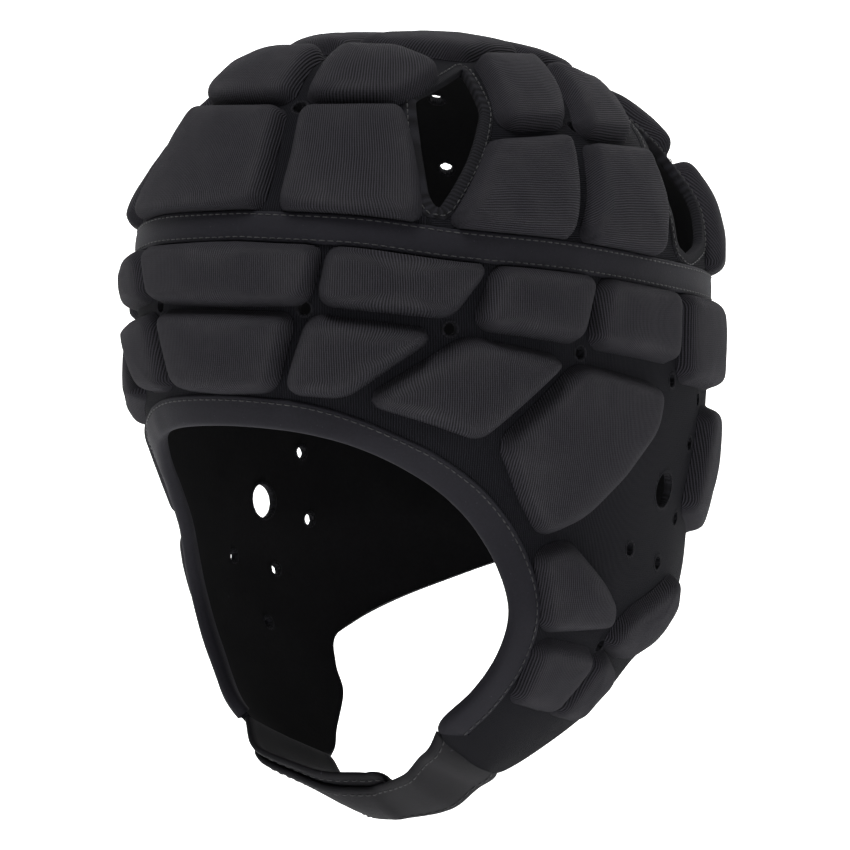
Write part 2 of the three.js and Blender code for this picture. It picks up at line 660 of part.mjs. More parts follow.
// Folded tape over the edge of the face opening
function faceBinding() {
  const face = bandLines.filter((line) => line.edge === "face");
  const round = face.slice(1).reverse().map((line) => ({ line, side: -1 }))
    .concat(face.map((line) => ({ line, side: 1 })));
  const edge = round.map(({ line, side }) => bandPoint(line, 1, 0, side));
  const rows = edge.map((here, i) => {
    const before = edge[Math.max(i - 1, 0)];
    const after = edge[Math.min(i + 1, edge.length - 1)];
    const run = after.point.clone().sub(before.point).normalize();
    const { turn, down, point } = here;
    const normal = inBand(turn, down, 1).sub(point).normalize();
    const onto = new THREE.Vector3().crossVectors(normal, run).normalize();
    const step = onto.clone().multiplyScalar(2);
    const flat = nearTurnDown(turn, down, step);
    const at = (across, out) => inBand(
      turn + flat.turn * across,
      down + flat.down * across,
      out,
    );
    const deep = baseThickness + liningGap;
    const fold = seamGap + bindingThickness;
    return [
      at(bindingWidth, foldGap),
      at(bindingWidth, foldGap + bindingThickness),
      at(-fold * 0.6, foldGap + bindingThickness),
      at(-fold, -deep / 2),
      at(-fold * 0.6, -deep - bindingThickness),
      at(bindingWidth * innerShare, -deep - bindingThickness),
      at(bindingWidth * innerShare, -deep),
      at(-seamGap, -deep),
      at(-seamGap, foldGap),
    ];
  });
  return toGeometry(toSolid(loft(rows, false)).subtract(ringWall(seamGap)));
}

// Change of turn and down for each mm of a step along the cap
function nearTurnDown(turn, down, step) {
  const eps = 0.5;
  const a = inBand(turn + eps, down, 0).sub(inBand(turn - eps, down, 0)).divideScalar(2 * eps);
  const b = inBand(turn, down + eps, 0).sub(inBand(turn, down - eps, 0)).divideScalar(2 * eps);
  const aa = a.dot(a);
  const bb = b.dot(b);
  const ab = a.dot(b);
  const length = step.length();
  const sa = step.dot(a) / length;
  const sb = step.dot(b) / length;
  const det = aa * bb - ab * ab;
  return { turn: (sa * bb - sb * ab) / det, down: (sb * aa - sa * ab) / det };
}

// Strap as a row of cross-sections from the flap towards and past the middle of the chin
function strapRow(side, s, out, setback) {
  const far = s > 1;
  const at = far ? 2 - s : s;
  const sign = far ? -side : side;
  const tipFront = inBand(sign * 48.5, 271.5, -baseThickness / 2);
  const tipRear = inBand(sign * 110, 294.5, -baseThickness / 2);
  const table = [{
    along: 0,
    out: Math.abs(tipFront.x) / capHalfWidth,
    rearOut: Math.abs(tipRear.x) / capHalfWidth,
    frontReach: -tipFront.y / capHalfLength,
    frontDrop: (baseThickness - tipFront.z) / capHeight,
    rearReach: -tipRear.y / capHalfLength,
    rearDrop: (baseThickness - tipRear.z) / capHeight,
  }].concat(chinLine.map((row) => ({ ...row, rearOut: row.out * 0.86 })));
  const value = (by, t) => along(table, "along", by, t);
  const edges = (t) => [
    new THREE.Vector3(
      sign * value("out", t) * capHalfWidth,
      -value("frontReach", t) * capHalfLength,
      baseThickness - value("frontDrop", t) * capHeight,
    ),
    new THREE.Vector3(
      sign * value("rearOut", t) * capHalfWidth,
      -value("rearReach", t) * capHalfLength,
      baseThickness - value("rearDrop", t) * capHeight,
    ),
  ];
  const [front, rear] = edges(at);
  const [nextFront, nextRear] = edges(Math.min(at + 0.02, 1));
  const [lastFront, lastRear] = edges(Math.max(at - 0.02, 0));
  const run = nextFront.add(nextRear).sub(lastFront).sub(lastRear);
  const across = rear.clone().sub(front).normalize();
  const normal = run.cross(across).normalize();
  if (normal.z > 0) normal.negate();
  const f = front.clone().addScaledVector(across, setback).addScaledVector(normal, out);
  const r = rear.clone().addScaledVector(across, setback * 0.3).addScaledVector(normal, out);
  const mid = f.clone().lerp(r, 0.5).addScaledVector(normal, 0.8);
  const half = strapThickness / 2;
  return [
    f.clone().addScaledVector(normal, half),
    mid.clone().addScaledVector(normal, half),
    r.clone().addScaledVector(normal, half),
    r.clone().addScaledVector(normal, -half),
    mid.clone().addScaledVector(normal, -half),
    f.clone().addScaledVector(normal, -half),
  ];
}

const strapStart = 0.03;
const smooth = (x) => {
  const t = Math.min(Math.max(x, 0), 1);
  return t * t * (3 - 2 * t);
};

// How far both halves hang down where they lap, along the left half
const strapSag = (s) => strapSlack * smooth((s - 0.9) / 0.5) * smooth((2 - s) / 0.3);

function strapLeft() {
  const rows = [];
  const lap = strapThickness + strapLapGap;
  const count = 18;
  for (let i = 0; i <= count; i += 1) {
    const s = strapStart + ((1 + strapOverlap - strapStart) * i) / count;
    const rise = lap * smooth((s - 0.35) / 0.28) + strapSag(s);
    rows.push(strapRow(1, s, rise, strapSetback * smooth((s - 0.6) / 0.5)));
  }
  return loft(rows, false);
}

function strapRight() {
  const rows = [];
  const count = 11;
  for (let i = 0; i <= count; i += 1) {
    const s = strapStart + ((1 + strapTail - strapStart) * i) / count;
    rows.push(strapRow(-1, s, strapSag(2 - s), 0));
  }
  return loft(rows, false);
}

const group = new THREE.Group();
group.name = "rugby_scrum_cap";

function piece(name, geometry, color, roughness) {
  const material = new THREE.MeshStandardMaterial({ color, roughness, metalness: 0 });
  material.name = `${name}_material`;
  const mesh = new THREE.Mesh(geometry, material);
  mesh.name = name;
  group.add(mesh);
}

piece("crown_shell", crownShell(), liningColour, 0.95);
piece("ring_shell", ringShell(), liningColour, 0.95);
piece("crown_seam_tape", seamTape(), tapeColour, 0.8);
piece("face_binding", faceBinding(), tapeColour, 0.8);
piece("chin_strap_left", strapLeft(), tapeColour, 0.85);
piece("chin_strap_right", strapRight(), tapeColour, 0.85);

const sides = [["left", 1], ["right", -1]];
const flipTo = (corners, side) => (side > 0 ? corners : mirrored(corners));
const atSeam = (corners, turned, side) => corners.map(([turn, down]) => [
  turn,
  down === seamEdge ? seamAt(turned(turn)) + side * (tapeClear + padSpread) : down,
]);
for (const [name, corners] of Object.entries(crownPads)) {
  for (const [side, sign] of sides) {
    const placed = atSeam(flipTo(corners, sign), crownTurn, -1);
    piece(`${name}_${side}`, pad(new Outline(placed, onCrownPad), padHeight), knitColour, 0.92);
  }
}
for (const [name, corners] of Object.entries(wedgePads)) {
  for (const [side, sign] of sides) {
    const outline = new PolarOutline(flipTo(corners, sign), onCrownPad);
    piece(`${name}_${side}`, pad(outline, padHeight), knitColour, 0.92);
  }
}
piece("crown_wedge_rear", pad(new PolarOutline(rearWedge, onCrownPad), padHeight), knitColour, 0.92);
for (const [name, corners] of Object.entries(bandPads)) {
  const height = smallPads.includes(name) ? smallPadHeight : padHeight;
  for (const [side, sign] of sides) {
    const placed = atSeam(flipTo(corners, sign), bandTurn, 1);
    piece(`${name}_${side}`, pad(new Outline(placed, onBandPad), height), knitColour, 0.92);
  }
}
for (const [name, corners] of Object.entries(middlePads)) {
  const right = corners.slice(1, -1).reverse()
    .map(([turn, down]) => [name.startsWith("nape") ? 360 - turn : -turn, down]);
  const placed = atSeam(corners.concat(right), bandTurn, 1);
  piece(name, pad(new Outline(placed, onBandPad), padHeight), knitColour, 0.92);
}

export default group;
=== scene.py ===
import math

import bpy
import numpy as np
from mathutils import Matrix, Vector


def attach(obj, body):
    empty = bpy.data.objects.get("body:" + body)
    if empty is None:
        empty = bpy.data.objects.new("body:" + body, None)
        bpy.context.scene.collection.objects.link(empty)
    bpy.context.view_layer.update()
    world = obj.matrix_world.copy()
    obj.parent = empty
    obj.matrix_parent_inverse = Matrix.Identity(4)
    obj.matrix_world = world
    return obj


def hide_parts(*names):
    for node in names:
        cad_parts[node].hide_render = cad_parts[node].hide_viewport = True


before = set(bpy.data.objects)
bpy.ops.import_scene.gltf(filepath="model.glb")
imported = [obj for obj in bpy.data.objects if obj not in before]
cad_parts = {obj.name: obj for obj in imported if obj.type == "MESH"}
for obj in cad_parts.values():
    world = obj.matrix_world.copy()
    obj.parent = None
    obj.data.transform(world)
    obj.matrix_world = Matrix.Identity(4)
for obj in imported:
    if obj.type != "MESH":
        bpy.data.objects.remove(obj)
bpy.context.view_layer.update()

# Camera
# Stands at the wearer's front left, a little above the middle of the cap, far off with a long
# lens, which is the view of the photograph. The frame is square and 272 mm wide at the cap.
view_turn, view_rise = math.radians(34), math.radians(2.5)
toward = Vector((
    math.sin(view_turn) * math.cos(view_rise),
    -math.cos(view_turn) * math.cos(view_rise),
    math.sin(view_rise),
))
camera = bpy.data.objects.new("photo_view", bpy.data.cameras.new("photo_view"))
bpy.context.scene.collection.objects.link(camera)
facing = (-toward).to_track_quat("-Z", "Y")
camera.rotation_euler = facing.to_euler()
camera.location = (
    Vector((0, 0, -0.122)) + toward * 1.7
    + facing @ Vector((-0.0003, 0.0049, 0))
)
camera.data.sensor_width = 36
camera.data.lens = 36 * 1700 / 272.4
camera.data.clip_end = 20
bpy.context.scene.camera = camera

# Crown
# The thin base of the crown: black rib knit glued over film and a matt lining, 2.5 mm in all,
# moulded into a dome. Its vents are cut out and their edges folded and stitched. The rib runs
# down the front and back panels and from front to back on the side panels.
half_length, half_width, height = 102.5, 81.5, 240.5
base_thickness = 2.5

# drop, front, back, side, middle as shares of the sizes above, and squareness
cap_rows = np.array([
    (0, 0.115, -0.115, 0, 0.115, 2.0),
    (0.004, 0.365, 0.135, 0.24, 0.115, 2.0),
    (0.022, 0.615, 0.327, 0.47, 0.115, 2.05),
    (0.084, 0.798, 0.683, 0.735, 0.077, 2.1),
    (0.152, 0.889, 0.885, 0.88, 0.02, 2.15),
    (0.222, 0.971, 0.981, 0.976, 0, 2.2),
    (0.264, 0.99, 1, 0.994, 0, 2.2),
    (0.385, 0.981, 1, 1, 0, 2.2),
    (0.489, 0.942, 0.99, 0.988, 0, 2.2),
    (0.538, 0.865, 0.975, 0.976, 0, 2.2),
    (0.584, 0.788, 0.94, 0.959, 0, 2.2),
    (0.634, 0.731, 0.9, 0.94, 0, 2.2),
    (0.688, 0.712, 0.885, 0.925, 0, 2.2),
    (0.75, 0.731, 0.84, 0.86, 0.01, 2.35),
    (0.809, 0.692, 0.702, 0.771, 0.029, 2.5),
    (0.867, 0.615, 0.558, 0.669, 0.087, 2.4),
    (0.913, 0.51, 0.442, 0.554, 0.144, 2.2),
    (0.958, 0.375, 0.25, 0.398, 0.202, 2.0),
    (1, 0.288, -0.135, 0.108, 0.212, 2.0),
])
cap_z = base_thickness - cap_rows[:, 0] * height
cap_side = cap_rows[:, 3] * half_width
cap_down = np.concatenate([[0], np.cumsum(np.hypot(np.diff(cap_side), np.diff(cap_z)))])
pattern_scale = cap_down[-1] / 323.6


def smooth_value(xs, ys, x):
    step = np.diff(xs)
    rise = np.diff(ys) / step
    slope = np.zeros(len(ys))
    same = rise[:-1] * rise[1:] > 0
    both = np.where(same, rise[:-1] + rise[1:], 1)
    slope[1:-1] = np.where(same, 2 * rise[:-1] * rise[1:] / both, 0)
    slope[0], slope[-1] = rise[0], rise[-1]
    i = np.clip(np.searchsorted(xs, x) - 1, 0, len(xs) - 2)
    t = np.clip((x - xs[i]) / step[i], 0, 1)
    return (
        (2 * t**3 - 3 * t**2 + 1) * ys[i] + (t**3 - 2 * t**2 + t) * step[i] * slope[i]
        + (3 * t**2 - 2 * t**3) * ys[i + 1] + (t**3 - t**2) * step[i] * slope[i + 1]
    )


def on_cap(turn, down):
    at = down * pattern_scale
    z = smooth_value(cap_down, cap_z, at)
    front, back, side, middle, square = (
        smooth_value(cap_down, cap_rows[:, k] * size, at)
        for k, size in ((1, half_length), (2, half_length), (3, half_width), (4, half_length), (5, 1))
    )
    c, s = np.cos(np.radians(turn)), np.sin(np.radians(turn))
    reach = np.maximum(np.where(c >= 0, front - middle, back + middle), 1e-6)
    beside = np.maximum(side, 1e-6)
    r = ((np.abs(c) / reach) ** square + (np.abs(s) / beside) ** square) ** (-1 / square)
    return np.stack([r * s, -middle - r * c, z], -1)


def off_cap(turn, down, out):
    turn, down, out = np.broadcast_arrays(np.asarray(turn, float), down, out)
    u, v = down * np.sin(np.radians(turn)), down * np.cos(np.radians(turn))

    def near(du, dv):
        return on_cap(np.degrees(np.arctan2(u + du, v + dv)), np.hypot(u + du, v + dv))

    normal = np.cross(near(0, 0.4) - near(0, -0.4), near(0.4, 0) - near(-0.4, 0))
    normal /= np.linalg.norm(normal, axis=-1, keepdims=True)
    return on_cap(turn, down) + normal * out[..., None]


def crown_turn(turn):
    return turn + 6 * np.maximum(1 - np.abs(turn) / 32, 0)


seam_rows = np.array([
    (0, 106.5), (20, 108), (40, 112.5), (60, 115.5), (80, 119), (100, 122.5),
    (120, 125.5), (150, 129.5), (180, 131),
])


def seam_at(turn):
    return smooth_value(seam_rows[:, 0], seam_rows[:, 1], np.abs((turn + 540) % 360 - 180))


def uneven(points, size):
    q = points / size
    x, y, z = q[..., 0], q[..., 1], q[..., 2]
    return (
        np.sin(1.9 * x + 1.3 * np.sin(1.1 * y)) + np.sin(2.3 * y + 0.7 * z)
        + np.sin(2.1 * z + 1.7 * x)
    ) / 3


def way_along(line):
    """Distance along a line of points, from its first point."""
    return np.concatenate([[0], np.cumsum(np.linalg.norm(np.diff(line, axis=0), axis=1))])


def linear(code):
    shares = [int(code[i:i + 2], 16) / 255 for i in (0, 2, 4)]
    return (*(c / 12.92 if c <= 0.04045 else ((c + 0.055) / 1.055) ** 2.4 for c in shares), 1)


def add(material, kind, sockets=(), **settings):
    made = material.node_tree.nodes.new(kind)
    for key, value in settings.items():
        setattr(made, key, value)
    for key, value in dict(sockets).items():
        if isinstance(value, bpy.types.NodeSocket):
            material.node_tree.links.new(value, made.inputs[key])
        else:
            made.inputs[key].default_value = value
    return made


def new_material(name):
    material = bpy.data.materials.new(name)
    material.use_nodes = True
    material.node_tree.nodes.clear()
    return material


# Polyester rib knit, black, circular knitted and brushed by wear. Gives fine even ribs, a dull
# matt face and grey lint on the raised places. The ribs are drawn 0.7 mm apart, a little coarser
# than they look on the real cap, so that they show.
def rib_knit(name, ground, crest, rib=0.7, loop=0.62):
    m = new_material(name)
    place = add(m, "ShaderNodeTexCoord").outputs["Object"]
    cloth = add(m, "ShaderNodeAttribute", attribute_name="rib_mm").outputs["Vector"]
    sway = add(m, "ShaderNodeTexNoise", {"Vector": cloth, "Scale": 0.06, "Detail": 2}).outputs["Fac"]
    xyz = add(m, "ShaderNodeSeparateXYZ", {"Vector": cloth})
    across = add(m, "ShaderNodeMath", {0: sway, 1: 0.9, 2: xyz.outputs["X"]}, operation="MULTIPLY_ADD")
    ribs = add(m, "ShaderNodeMath", {0: across.outputs[0], 1: 2 * math.pi / rib}, operation="MULTIPLY")
    ribs = add(m, "ShaderNodeMath", {0: ribs.outputs[0]}, operation="SINE")
    loops = add(m, "ShaderNodeMath", {0: xyz.outputs["Y"], 1: 2 * math.pi / loop}, operation="MULTIPLY")
    loops = add(m, "ShaderNodeMath", {0: loops.outputs[0]}, operation="SINE")
    fuzz = add(m, "ShaderNodeTexNoise", {"Vector": place, "Scale": 1400, "Detail": 3, "Roughness": 0.7})
    high = add(m, "ShaderNodeMath", {0: ribs.outputs[0], 1: 0.45, 2: 0.3}, operation="MULTIPLY_ADD")
    for raised, share in ((loops.outputs[0], 0.08), (fuzz.outputs["Fac"], 0.5)):
        high = add(m, "ShaderNodeMath", {0: raised, 1: share, 2: high.outputs[0]},
                   operation="MULTIPLY_ADD")
    tone = add(m, "ShaderNodeMix", {"Factor": high.outputs[0], "A": linear(ground), "B": linear(crest)},
               data_type="RGBA")
    worn = add(m, "ShaderNodeAttribute", attribute_name="worn").outputs["Fac"]
    patch = add(m, "ShaderNodeTexNoise", {"Vector": place, "Scale": 90, "Detail": 4, "Roughness": 0.6})
    lint = add(m, "ShaderNodeMath", {0: worn, 1: patch.outputs["Fac"]}, operation="MULTIPLY")
    face = add(m, "ShaderNodeMix", {"Factor": lint.outputs[0], "A": tone.outputs["Result"],
                                    "B": linear("4c4b4c")}, data_type="RGBA")
    bump = add(m, "ShaderNodeBump", {"Height": high.outputs[0], "Distance": 0.00028, "Strength": 0.75})
    cover = add(m, "ShaderNodeBsdfPrincipled", {
        "Base Color": face.outputs["Result"], "Normal": bump.outputs["Normal"], "Roughness": 0.88,
        "IOR": 1.5, "Specular IOR Level": 0.05, "Sheen Weight": 0.01, "Sheen Roughness": 0.5,
        "Sheen Tint": (0.6, 0.6, 0.62, 1)})
    add(m, "ShaderNodeOutputMaterial", {"Surface": cover.outputs[0]})
    return m


# Brushed nylon lining, near black, laminated to the foam. Gives a flat, soft, matt inside.
def brushed_lining(name):
    m = new_material(name)
    place = add(m, "ShaderNodeTexCoord").outputs["Object"]
    nap = add(m, "ShaderNodeTexNoise", {"Vector": place, "Scale": 900, "Detail": 4, "Roughness": 0.7})
    cloud = add(m, "ShaderNodeTexNoise", {"Vector": place, "Scale": 45, "Detail": 3})
    mixed = add(m, "ShaderNodeMath", {0: nap.outputs["Fac"], 1: cloud.outputs["Fac"]},
                operation="MULTIPLY")
    tone = add(m, "ShaderNodeMix", {"Factor": mixed.outputs[0], "A": linear("0b0b0c"),
                                    "B": linear("1c1c1d")}, data_type="RGBA")
    bump = add(m, "ShaderNodeBump", {"Height": nap.outputs["Fac"], "Distance": 0.0002, "Strength": 0.5})
    cover = add(m, "ShaderNodeBsdfPrincipled", {
        "Base Color": tone.outputs["Result"], "Normal": bump.outputs["Normal"], "Roughness": 0.95,
        "IOR": 1.5, "Specular IOR Level": 0.05, "Sheen Weight": 0.01, "Sheen Roughness": 0.6,
        "Sheen Tint": (0.5, 0.5, 0.52, 1)})
    add(m, "ShaderNodeOutputMaterial", {"Surface": cover.outputs[0]})
    return m


# Spun polyester thread, near black, lockstitched. Gives small raised twisted dashes.
def spun_thread(name, code):
    m = new_material(name)
    place = add(m, "ShaderNodeTexCoord").outputs["Object"]
    twist = add(m, "ShaderNodeTexWave", {"Vector": place, "Scale": 700, "Distortion": 1.5})
    tone = add(m, "ShaderNodeMix", {"Factor": twist.outputs["Fac"], "A": linear("121214"),
                                    "B": linear(code)}, data_type="RGBA")
    bump = add(m, "ShaderNodeBump", {"Height": twist.outputs["Fac"], "Distance": 0.0001})
    cover = add(m, "ShaderNodeBsdfPrincipled", {
        "Base Color": tone.outputs["Result"], "Normal": bump.outputs["Normal"], "Roughness": 0.6,
        "IOR": 1.53, "Sheen Weight": 0.05})
    add(m, "ShaderNodeOutputMaterial", {"Surface": cover.outputs[0]})
    return m


# The same knit as over the foam pads but with a darker crest colour: painted shade on all of the base,
# which lies low between and below the pads.
shaded_knit_base = rib_knit("polyester_rib_knit_base_painted_shade", "060608", "17171b")
lining = brushed_lining("brushed_nylon_lining")
thread = spun_thread("spun_polyester_thread", "17171a")


def make_piece(name, parts, materials, nodes):
    """parts: list of (points in mm, faces, rib in mm, worn, material number)."""
    points = np.concatenate([p[0].reshape(-1, 3) for p in parts]) / 1000
    rib = np.concatenate([np.broadcast_to(p[2], (len(p[0].reshape(-1, 3)), 2)) for p in parts])
    worn = np.concatenate([np.broadcast_to(p[3], len(p[0].reshape(-1, 3))) for p in parts])
    faces, numbers, start = [], [], 0
    for part in parts:
        for group in part[1]:
            faces.append(group + start)
        count = sum(len(group) for group in part[1])
        numbers.append(np.broadcast_to(part[4], count))
        start += len(part[0].reshape(-1, 3))
    sizes = np.concatenate([np.full(len(g), g.shape[1]) for g in faces])
    corners = np.concatenate([g.ravel() for g in faces]).astype(np.int32)
    mesh = bpy.data.meshes.new(name)
    mesh.vertices.add(len(points))
    mesh.vertices.foreach_set("co", points.astype(np.float32).ravel())
    mesh.loops.add(len(corners))
    mesh.loops.foreach_set("vertex_index", corners)
    mesh.polygons.add(len(sizes))
    starts = np.concatenate([[0], np.cumsum(sizes)[:-1]])
    mesh.polygons.foreach_set("loop_start", starts.astype(np.int32))
    mesh.polygons.foreach_set("material_index", np.concatenate(numbers).astype(np.int32))
    mesh.polygons.foreach_set("use_smooth", np.ones(len(sizes), bool))
    mesh.update(calc_edges=True)
    flat = np.zeros((len(points), 3), np.float32)
    flat[:, :2] = rib
    mesh.attributes.new("rib_mm", "FLOAT_VECTOR", "POINT").data.foreach_set("vector", flat.ravel())
    mesh.attributes.new("worn", "FLOAT", "POINT").data.foreach_set("value", worn.astype(np.float32))
    mesh.validate()
    piece = bpy.data.objects.new(name, mesh)
    bpy.context.scene.collection.objects.link(piece)
    for material in materials:
        mesh.materials.append(material)
    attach(piece, "root")
    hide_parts(*nodes)
    return piece


class Drawn:
    """An outline drawn on the pattern, in mm round its own middle."""

    def __init__(self, corners, place):
        corners = np.array(corners, float)
        self.place = place
        self.turn, self.down = corners.mean(0)
        ends = [place(self.turn + d, self.down, 0) for d in (-1, 1)]
        self.per_degree = np.linalg.norm(ends[1] - ends[0]) / 2
        self.points = (corners - (self.turn, self.down)) * (self.per_degree, pattern_scale)

    def spot(self, p):
        return self.turn + p[..., 0] / self.per_degree, self.down + p[..., 1] / pattern_scale

    def lift(self, p, out):
        return self.place(*self.spot(p), out)


def rounded(points, radius, step):
    n, out = len(points), []
    for i in range(n):
        here, before, after = points[i], points[i - 1], points[(i + 1) % n]
        la, lb = np.linalg.norm(before - here), np.linalg.norm(after - here)
        cut = min(radius, 0.45 * la, 0.45 * lb)
        a, b = here + (before - here) * cut / la, here + (after - here) * cut / lb
        t = np.linspace(0, 1, 9)[:, None]
        out.append((1 - t) ** 2 * a + 2 * t * (1 - t) * (here * 0.9 + (a + b) * 0.05) + t**2 * b)
    ring = np.concatenate(out)
    ring = np.concatenate([ring, ring[:1]])
    way = way_along(ring)
    count = max(12, int(round(way[-1] / step)))
    at = np.linspace(0, way[-1], count, endpoint=False)
    return np.stack([np.interp(at, way, ring[:, k]) for k in (0, 1)], -1)


def side_out(ring):
    run = np.roll(ring, -1, 0) - np.roll(ring, 1, 0)
    n = np.stack([run[:, 1], -run[:, 0]], -1) / np.linalg.norm(run, axis=1)[:, None]
    area = np.sum(ring[:, 0] * np.roll(ring[:, 1], -1) - ring[:, 1] * np.roll(ring[:, 0], -1))
    return n if area > 0 else -n


def woven_faces(rows, count, loop=False):
    """Quads between closed rows of points. loop: the last row meets the first."""
    i = np.arange(rows if loop else rows - 1)[:, None]
    k = np.arange(count)[None, :]
    a, b = i * count + k, i * count + (k + 1) % count
    c, d = ((i + 1) % rows) * count + (k + 1) % count, ((i + 1) % rows) * count + k
    return np.stack([a, b, c, d], -1).reshape(-1, 4)


def folded_edge(drawn, outline, section):
    """A rim that wraps the cut edge of a hole. section: rows of mm beyond the edge, mm out."""
    n = side_out(outline)
    rows = [drawn.lift(outline + n * away, out) for away, out in section]
    rib = np.stack([np.broadcast_to(outline[:, 0], (len(section), len(outline))),
                    np.broadcast_to(outline[:, 1], (len(section), len(outline)))], -1)
    faces = [woven_faces(len(section), len(outline), loop=True)]
    return np.stack(rows), faces, rib.reshape(-1, 2), 0.1, 0


# share of a stitch's length, mm above the cloth, share of its thickness
stitch_shape = [(0, -0.15, 0.5), (0.15, 0.08, 1), (0.5, 0.16, 1.1), (0.85, 0.08, 1), (1, -0.15, 0.5)]
stitch_sides = 6


def stitches(line, out, length, pitch, thick=0.2, closed=False):
    """Small raised dashes of thread along a line of points with their outward directions."""
    if closed:
        line, out = np.concatenate([line, line[:1]]), np.concatenate([out, out[:1]])
    way = way_along(line)
    count = int(way[-1] / pitch)
    gap = way[-1] / count
    points, faces = [], []
    ring = np.radians(np.arange(0, 360, 360 // stitch_sides))
    cosine, sine = np.cos(ring)[:, None], np.sin(ring)[:, None]

    def between(values, at):
        return np.array([np.interp(at, way, values[:, j]) for j in range(3)])

    for k in range(count):
        rows = []
        for t, high, size in stitch_shape:
            at = (k + 0.5) * gap + (t - 0.5) * length
            p, up = between(line, at), between(out, at)
            ahead = between(line, at + 0.2) - p
            if np.linalg.norm(ahead) < 1e-6:
                ahead = p - between(line, at - 0.2)
            side = np.cross(up, ahead)
            side /= np.linalg.norm(side)
            up = up / np.linalg.norm(up)
            rows.append(p + up * high + (cosine * side + sine * up) * thick * size)
        start = len(stitch_shape) * stitch_sides * k
        faces.append(woven_faces(len(stitch_shape), stitch_sides) + start)
        points.append(np.concatenate(rows))
    return np.concatenate(points), [np.concatenate(faces)], (0, 0), 0, 2


def inside(points, ring):
    x, y = points[..., 0, None], points[..., 1, None]
    x0, y0 = ring[:, 0], ring[:, 1]
    x1, y1 = np.roll(x0, -1), np.roll(y0, -1)
    crosses = (y0 > y) != (y1 > y)
    where = x0 + (y - y0) * (x1 - x0) / np.where(y1 == y0, 1e-9, y1 - y0)
    return (np.sum(crosses & (x < where), -1) % 2) == 1


def nearest_on(points, ring):
    a, b = ring[None], np.roll(ring, -1, 0)[None]
    p = points[:, None]
    t = np.clip(np.sum((p - a) * (b - a), -1) / np.sum((b - a) ** 2, -1), 0, 1)
    q = a + (b - a) * t[..., None]
    best = np.argmin(np.sum((p - q) ** 2, -1), 1)
    return q[np.arange(len(points)), best]


def cut_wall(turn, down, cuts, rib, place_out, pole=False):
    """Two faces of a thin wall on a grid closed round the cap, with the cuts left open."""
    rows, cols = turn.shape
    keep = np.ones((rows, cols - 1), bool)
    for drawn, outline in cuts:
        x = ((turn - drawn.turn + 180) % 360 - 180) * drawn.per_degree
        p = np.stack([x, (down - drawn.down) * pattern_scale], -1)
        mid = (p[:, :-1] + p[:, 1:]) / 2
        mid = (mid + np.roll(mid, -1, 0)) / 2
        wild = np.abs(np.roll(x, -1, 0) - x)[:, :-1] > 50
        gone = np.zeros_like(keep)
        close = (np.abs(mid) < np.abs(outline).max() + 3).all(-1) & ~wild
        gone[close] = inside(mid[close], outline)
        keep &= ~gone
        touched, kept = np.zeros((rows, cols), bool), np.zeros((rows, cols), bool)
        for di in (0, 1):
            for dj in (0, 1):
                touched[:, dj:cols - 1 + dj] |= np.roll(gone, di, 0)
                kept[:, dj:cols - 1 + dj] |= np.roll(keep, di, 0)
        edge = touched & kept
        moved = nearest_on(p[edge], outline)
        turn = turn.copy()
        down = down.copy()
        turn[edge] += (moved[:, 0] - p[edge][:, 0]) / drawn.per_degree
        down[edge] += (moved[:, 1] - p[edge][:, 1]) / pattern_scale
    outer, inner = place_out(turn, down, 0.0), place_out(turn, down, -base_thickness)
    outer = outer + (outer - inner) / base_thickness * 0.12 * uneven(outer, 9)[..., None]
    ids = np.arange(rows * cols).reshape(rows, cols)
    later = np.roll(ids, -1, 0)
    quads = np.stack([ids[:, :-1], ids[:, 1:], later[:, 1:], later[:, :-1]], -1)
    faces = quads[keep]
    step = rows * cols
    walls = []
    for other, a, b in (
        (np.roll(keep, 1, 0), ids[:, :-1], ids[:, 1:]),
        (np.roll(keep, -1, 0), later[:, 1:], later[:, :-1]),
        (np.pad(keep, ((0, 0), (1, 0)))[:, :-1], later[:, :-1], ids[:, :-1]),
        (np.pad(keep, ((0, 0), (0, 1)))[:, 1:], ids[:, 1:], later[:, 1:]),
    ):
        bare = keep & ~other
        walls.append(np.stack([a[bare], b[bare], b[bare] + step, a[bare] + step], -1))
    walls = np.concatenate(walls)
    if pole:
        walls = walls[(walls[:, 0] % cols > 0) | (walls[:, 1] % cols > 0)]
    both = np.concatenate([outer.reshape(-1, 3), inner.reshape(-1, 3)])
    groups = [faces[:, ::-1], faces + step, walls[:, ::-1]]
    if pole:
        ring, turned = ids[:, 0], np.roll(ids[:, 0], -1)
        groups.append(np.stack([ring, turned, np.full(rows, 2 * step)], -1))
        groups.append(np.stack([turned + step, ring + step, np.full(rows, 2 * step + 1)], -1))
        both = np.concatenate([both, [outer[:, 0].mean(0)], [inner[:, 0].mean(0)]])
    numbers = np.concatenate([np.full(len(g), k) for g, k in zip(groups, (0, 1, 0, 0, 1))])
    cloth = np.concatenate([rib.reshape(-1, 2)] * 2 + ([rib.reshape(-1, 2)[:2]] if pole else []))
    return both, groups, cloth, 0.0, numbers


vent_edges = {
    "front": [(36.3, 102), (34.5, 97), (34, 82), (35.5, 59), (57.5, 43), (54, 65), (45.5, 82)],
    "side": [(113, 117), (106.5, 113), (107, 99), (112.5, 85), (133.5, 67), (135, 79), (132, 97),
             (124, 113)],
}
rear_vent_edge = [(180, 121), (174, 98), (173.5, 80), (180, 64), (186.5, 80), (186, 98)]
crown_holes = [
    (6, 64), (84, 72), (-84, 72), (151.2, 84.7), (-151.2, 84.7), (154.6, 53.5), (-154.6, 53.5)]
crown_hole_size = 4.6
